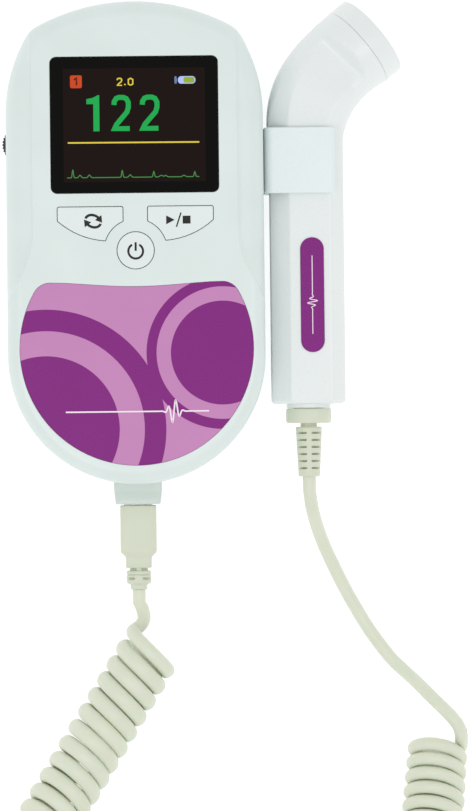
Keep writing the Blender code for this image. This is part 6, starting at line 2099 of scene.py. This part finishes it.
KEPT_NODES: dict[Finish, tuple[str, ...]] = {
    DARK_ABS: (
        "display_module", "mode_switch", "play_switch", "power_switch", "volume_pot",
        "socket_insert",
    ),
    CASE_ABS: ("display_frame",),
    BOARD: ("main_board", "probe_board"),
    CONE: ("speaker",),
    CELL: ("battery_cell_left", "battery_cell_right"),
    STEEL: (
        "contact_link", "contact_positive", "contact_negative", "plug_shell",
        "holder_screw_1", "holder_screw_2",
    ),
    PIEZO: ("crystal_transmit", "crystal_receive"),
    DAMPER: ("crystal_backing",),
}


def dress_kept_nodes(nodes: dict[str, Piece]) -> None:
    """Gives the CAD nodes that stay their own finishes.

    Args:
        nodes: All the CAD's nodes by name.
    """
    for finish, names in KEPT_NODES.items():
        for name in names:
            for slot in nodes[name].material_slots:
                slot.material = finish.material()
            LOG.info("%s: %s", name, finish.name)


@dataclass
class Studio:
    """The camera, the floor and the soft light."""

    target: Pair = (28.18 * MM, -45.83 * MM)
    turn: float = math.radians(0.65)
    distance: float = 2.4
    seen_height: float = 811 / 3.58 * MM
    middle_height: float = 18.5 * MM
    face: float = 33 * MM
    lean: float = math.radians(0.9)
    sensor: float = 24.0
    floor_half: float = 1.5
    low_sky: float = 0.89
    high_sky: float = 0.63

    def camera(self) -> None:
        """A camera nearly straight above, turned a little, framed as the photograph is."""
        data = bpy.data.cameras.new("camera")
        data.sensor_fit = "VERTICAL"
        data.sensor_height = self.sensor
        data.lens = self.sensor * self.distance / self.seen_height
        data.clip_end = 20
        data.clip_start = 0.01
        camera = bpy.data.objects.new("camera", data)
        reach = self.distance + self.face - self.middle_height
        slip = math.sin(self.lean) * reach
        camera.location = (
            self.target[0] - slip * math.cos(self.turn),
            self.target[1] + slip * math.sin(self.turn),
            self.middle_height + math.cos(self.lean) * reach,
        )
        camera.rotation_euler = (0, -self.lean, -self.turn)
        bpy.context.scene.collection.objects.link(camera)
        bpy.context.scene.camera = camera

    def floor(self) -> None:
        """A plain white sheet under the object."""
        x, y, half = *self.target, self.floor_half
        corners = box_corners((x - half, y - half), (x + half, y + half))
        sheet = slab("floor", corners, -2 * MM, -0.05 * MM)
        sheet.data.materials.append(FLOOR.material())

    def light(self, name: str, place: Sequence[float], size: float, power: float) -> None:
        """A large soft lamp that faces the object.

        Args:
            name: The lamp's name.
            place: Where it stands.
            size: Its diameter.
            power: Its power in watts.
        """
        data = bpy.data.lights.new(name, "AREA")
        data.shape = "DISK"
        data.size = size
        data.energy = power
        lamp = bpy.data.objects.new(name, data)
        lamp.location = place
        way = Vector((*self.target, 0)) - Vector(place)
        lamp.rotation_euler = way.to_track_quat("-Z", "Y").to_euler()
        bpy.context.scene.collection.objects.link(lamp)

    def build(self) -> None:
        """Sets up the whole studio."""
        self.camera()
        self.floor()
        self.light("lamp_left", (-0.35, -0.3, 1.3), 0.7, 3.2)
        self.light("lamp_right", (0.45, -0.1, 1.25), 0.6, 2.0)
        world = bpy.data.worlds.new("studio_air")
        world.use_nodes = True
        tree = world.node_tree
        ground = tree.nodes["Background"]
        ground.inputs["Color"].default_value = (1, 1, 1, 1)
        source = add_node(tree, "ShaderNodeTexCoord")
        split = add_node(tree, "ShaderNodeSeparateXYZ", None, {0: source.outputs["Generated"]})
        feeds = {
            "Value": split.outputs["Z"], "From Min": 0.2, "From Max": 1.0,
            "To Min": self.low_sky, "To Max": self.high_sky,
        }
        fade = add_node(tree, "ShaderNodeMapRange", None, feeds)
        tree.links.new(fade.outputs[0], ground.inputs["Strength"])
        bpy.context.scene.world = world
        bpy.context.scene.view_settings.view_transform = "Standard"


def main() -> None:
    """Builds every sub-assembly in order."""
    logging.basicConfig(level=logging.INFO, format="%(name)s: %(message)s")
    for item in list(bpy.data.objects):
        bpy.data.objects.remove(item, do_unlink=True)
    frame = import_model()
    Studio().build()
    Plug().build()
    CurlyLead().build()
    screen, keypad, film, wheel = Screen(), Keypad(), FrontFilm(), VolumeWheel()
    seats = [*screen.cutters(0.15 * MM), *keypad.cutters(), *film.cutters(0.1 * MM)]
    MonitorCase().build([*seats, *wheel.cutters()])
    for part in (screen, keypad, film, wheel):
        part.build()
    ProbeHolder().build()
    Probe().build()
    dress_kept_nodes(frame["nodes"])


if __name__ == "__main__":
    main()
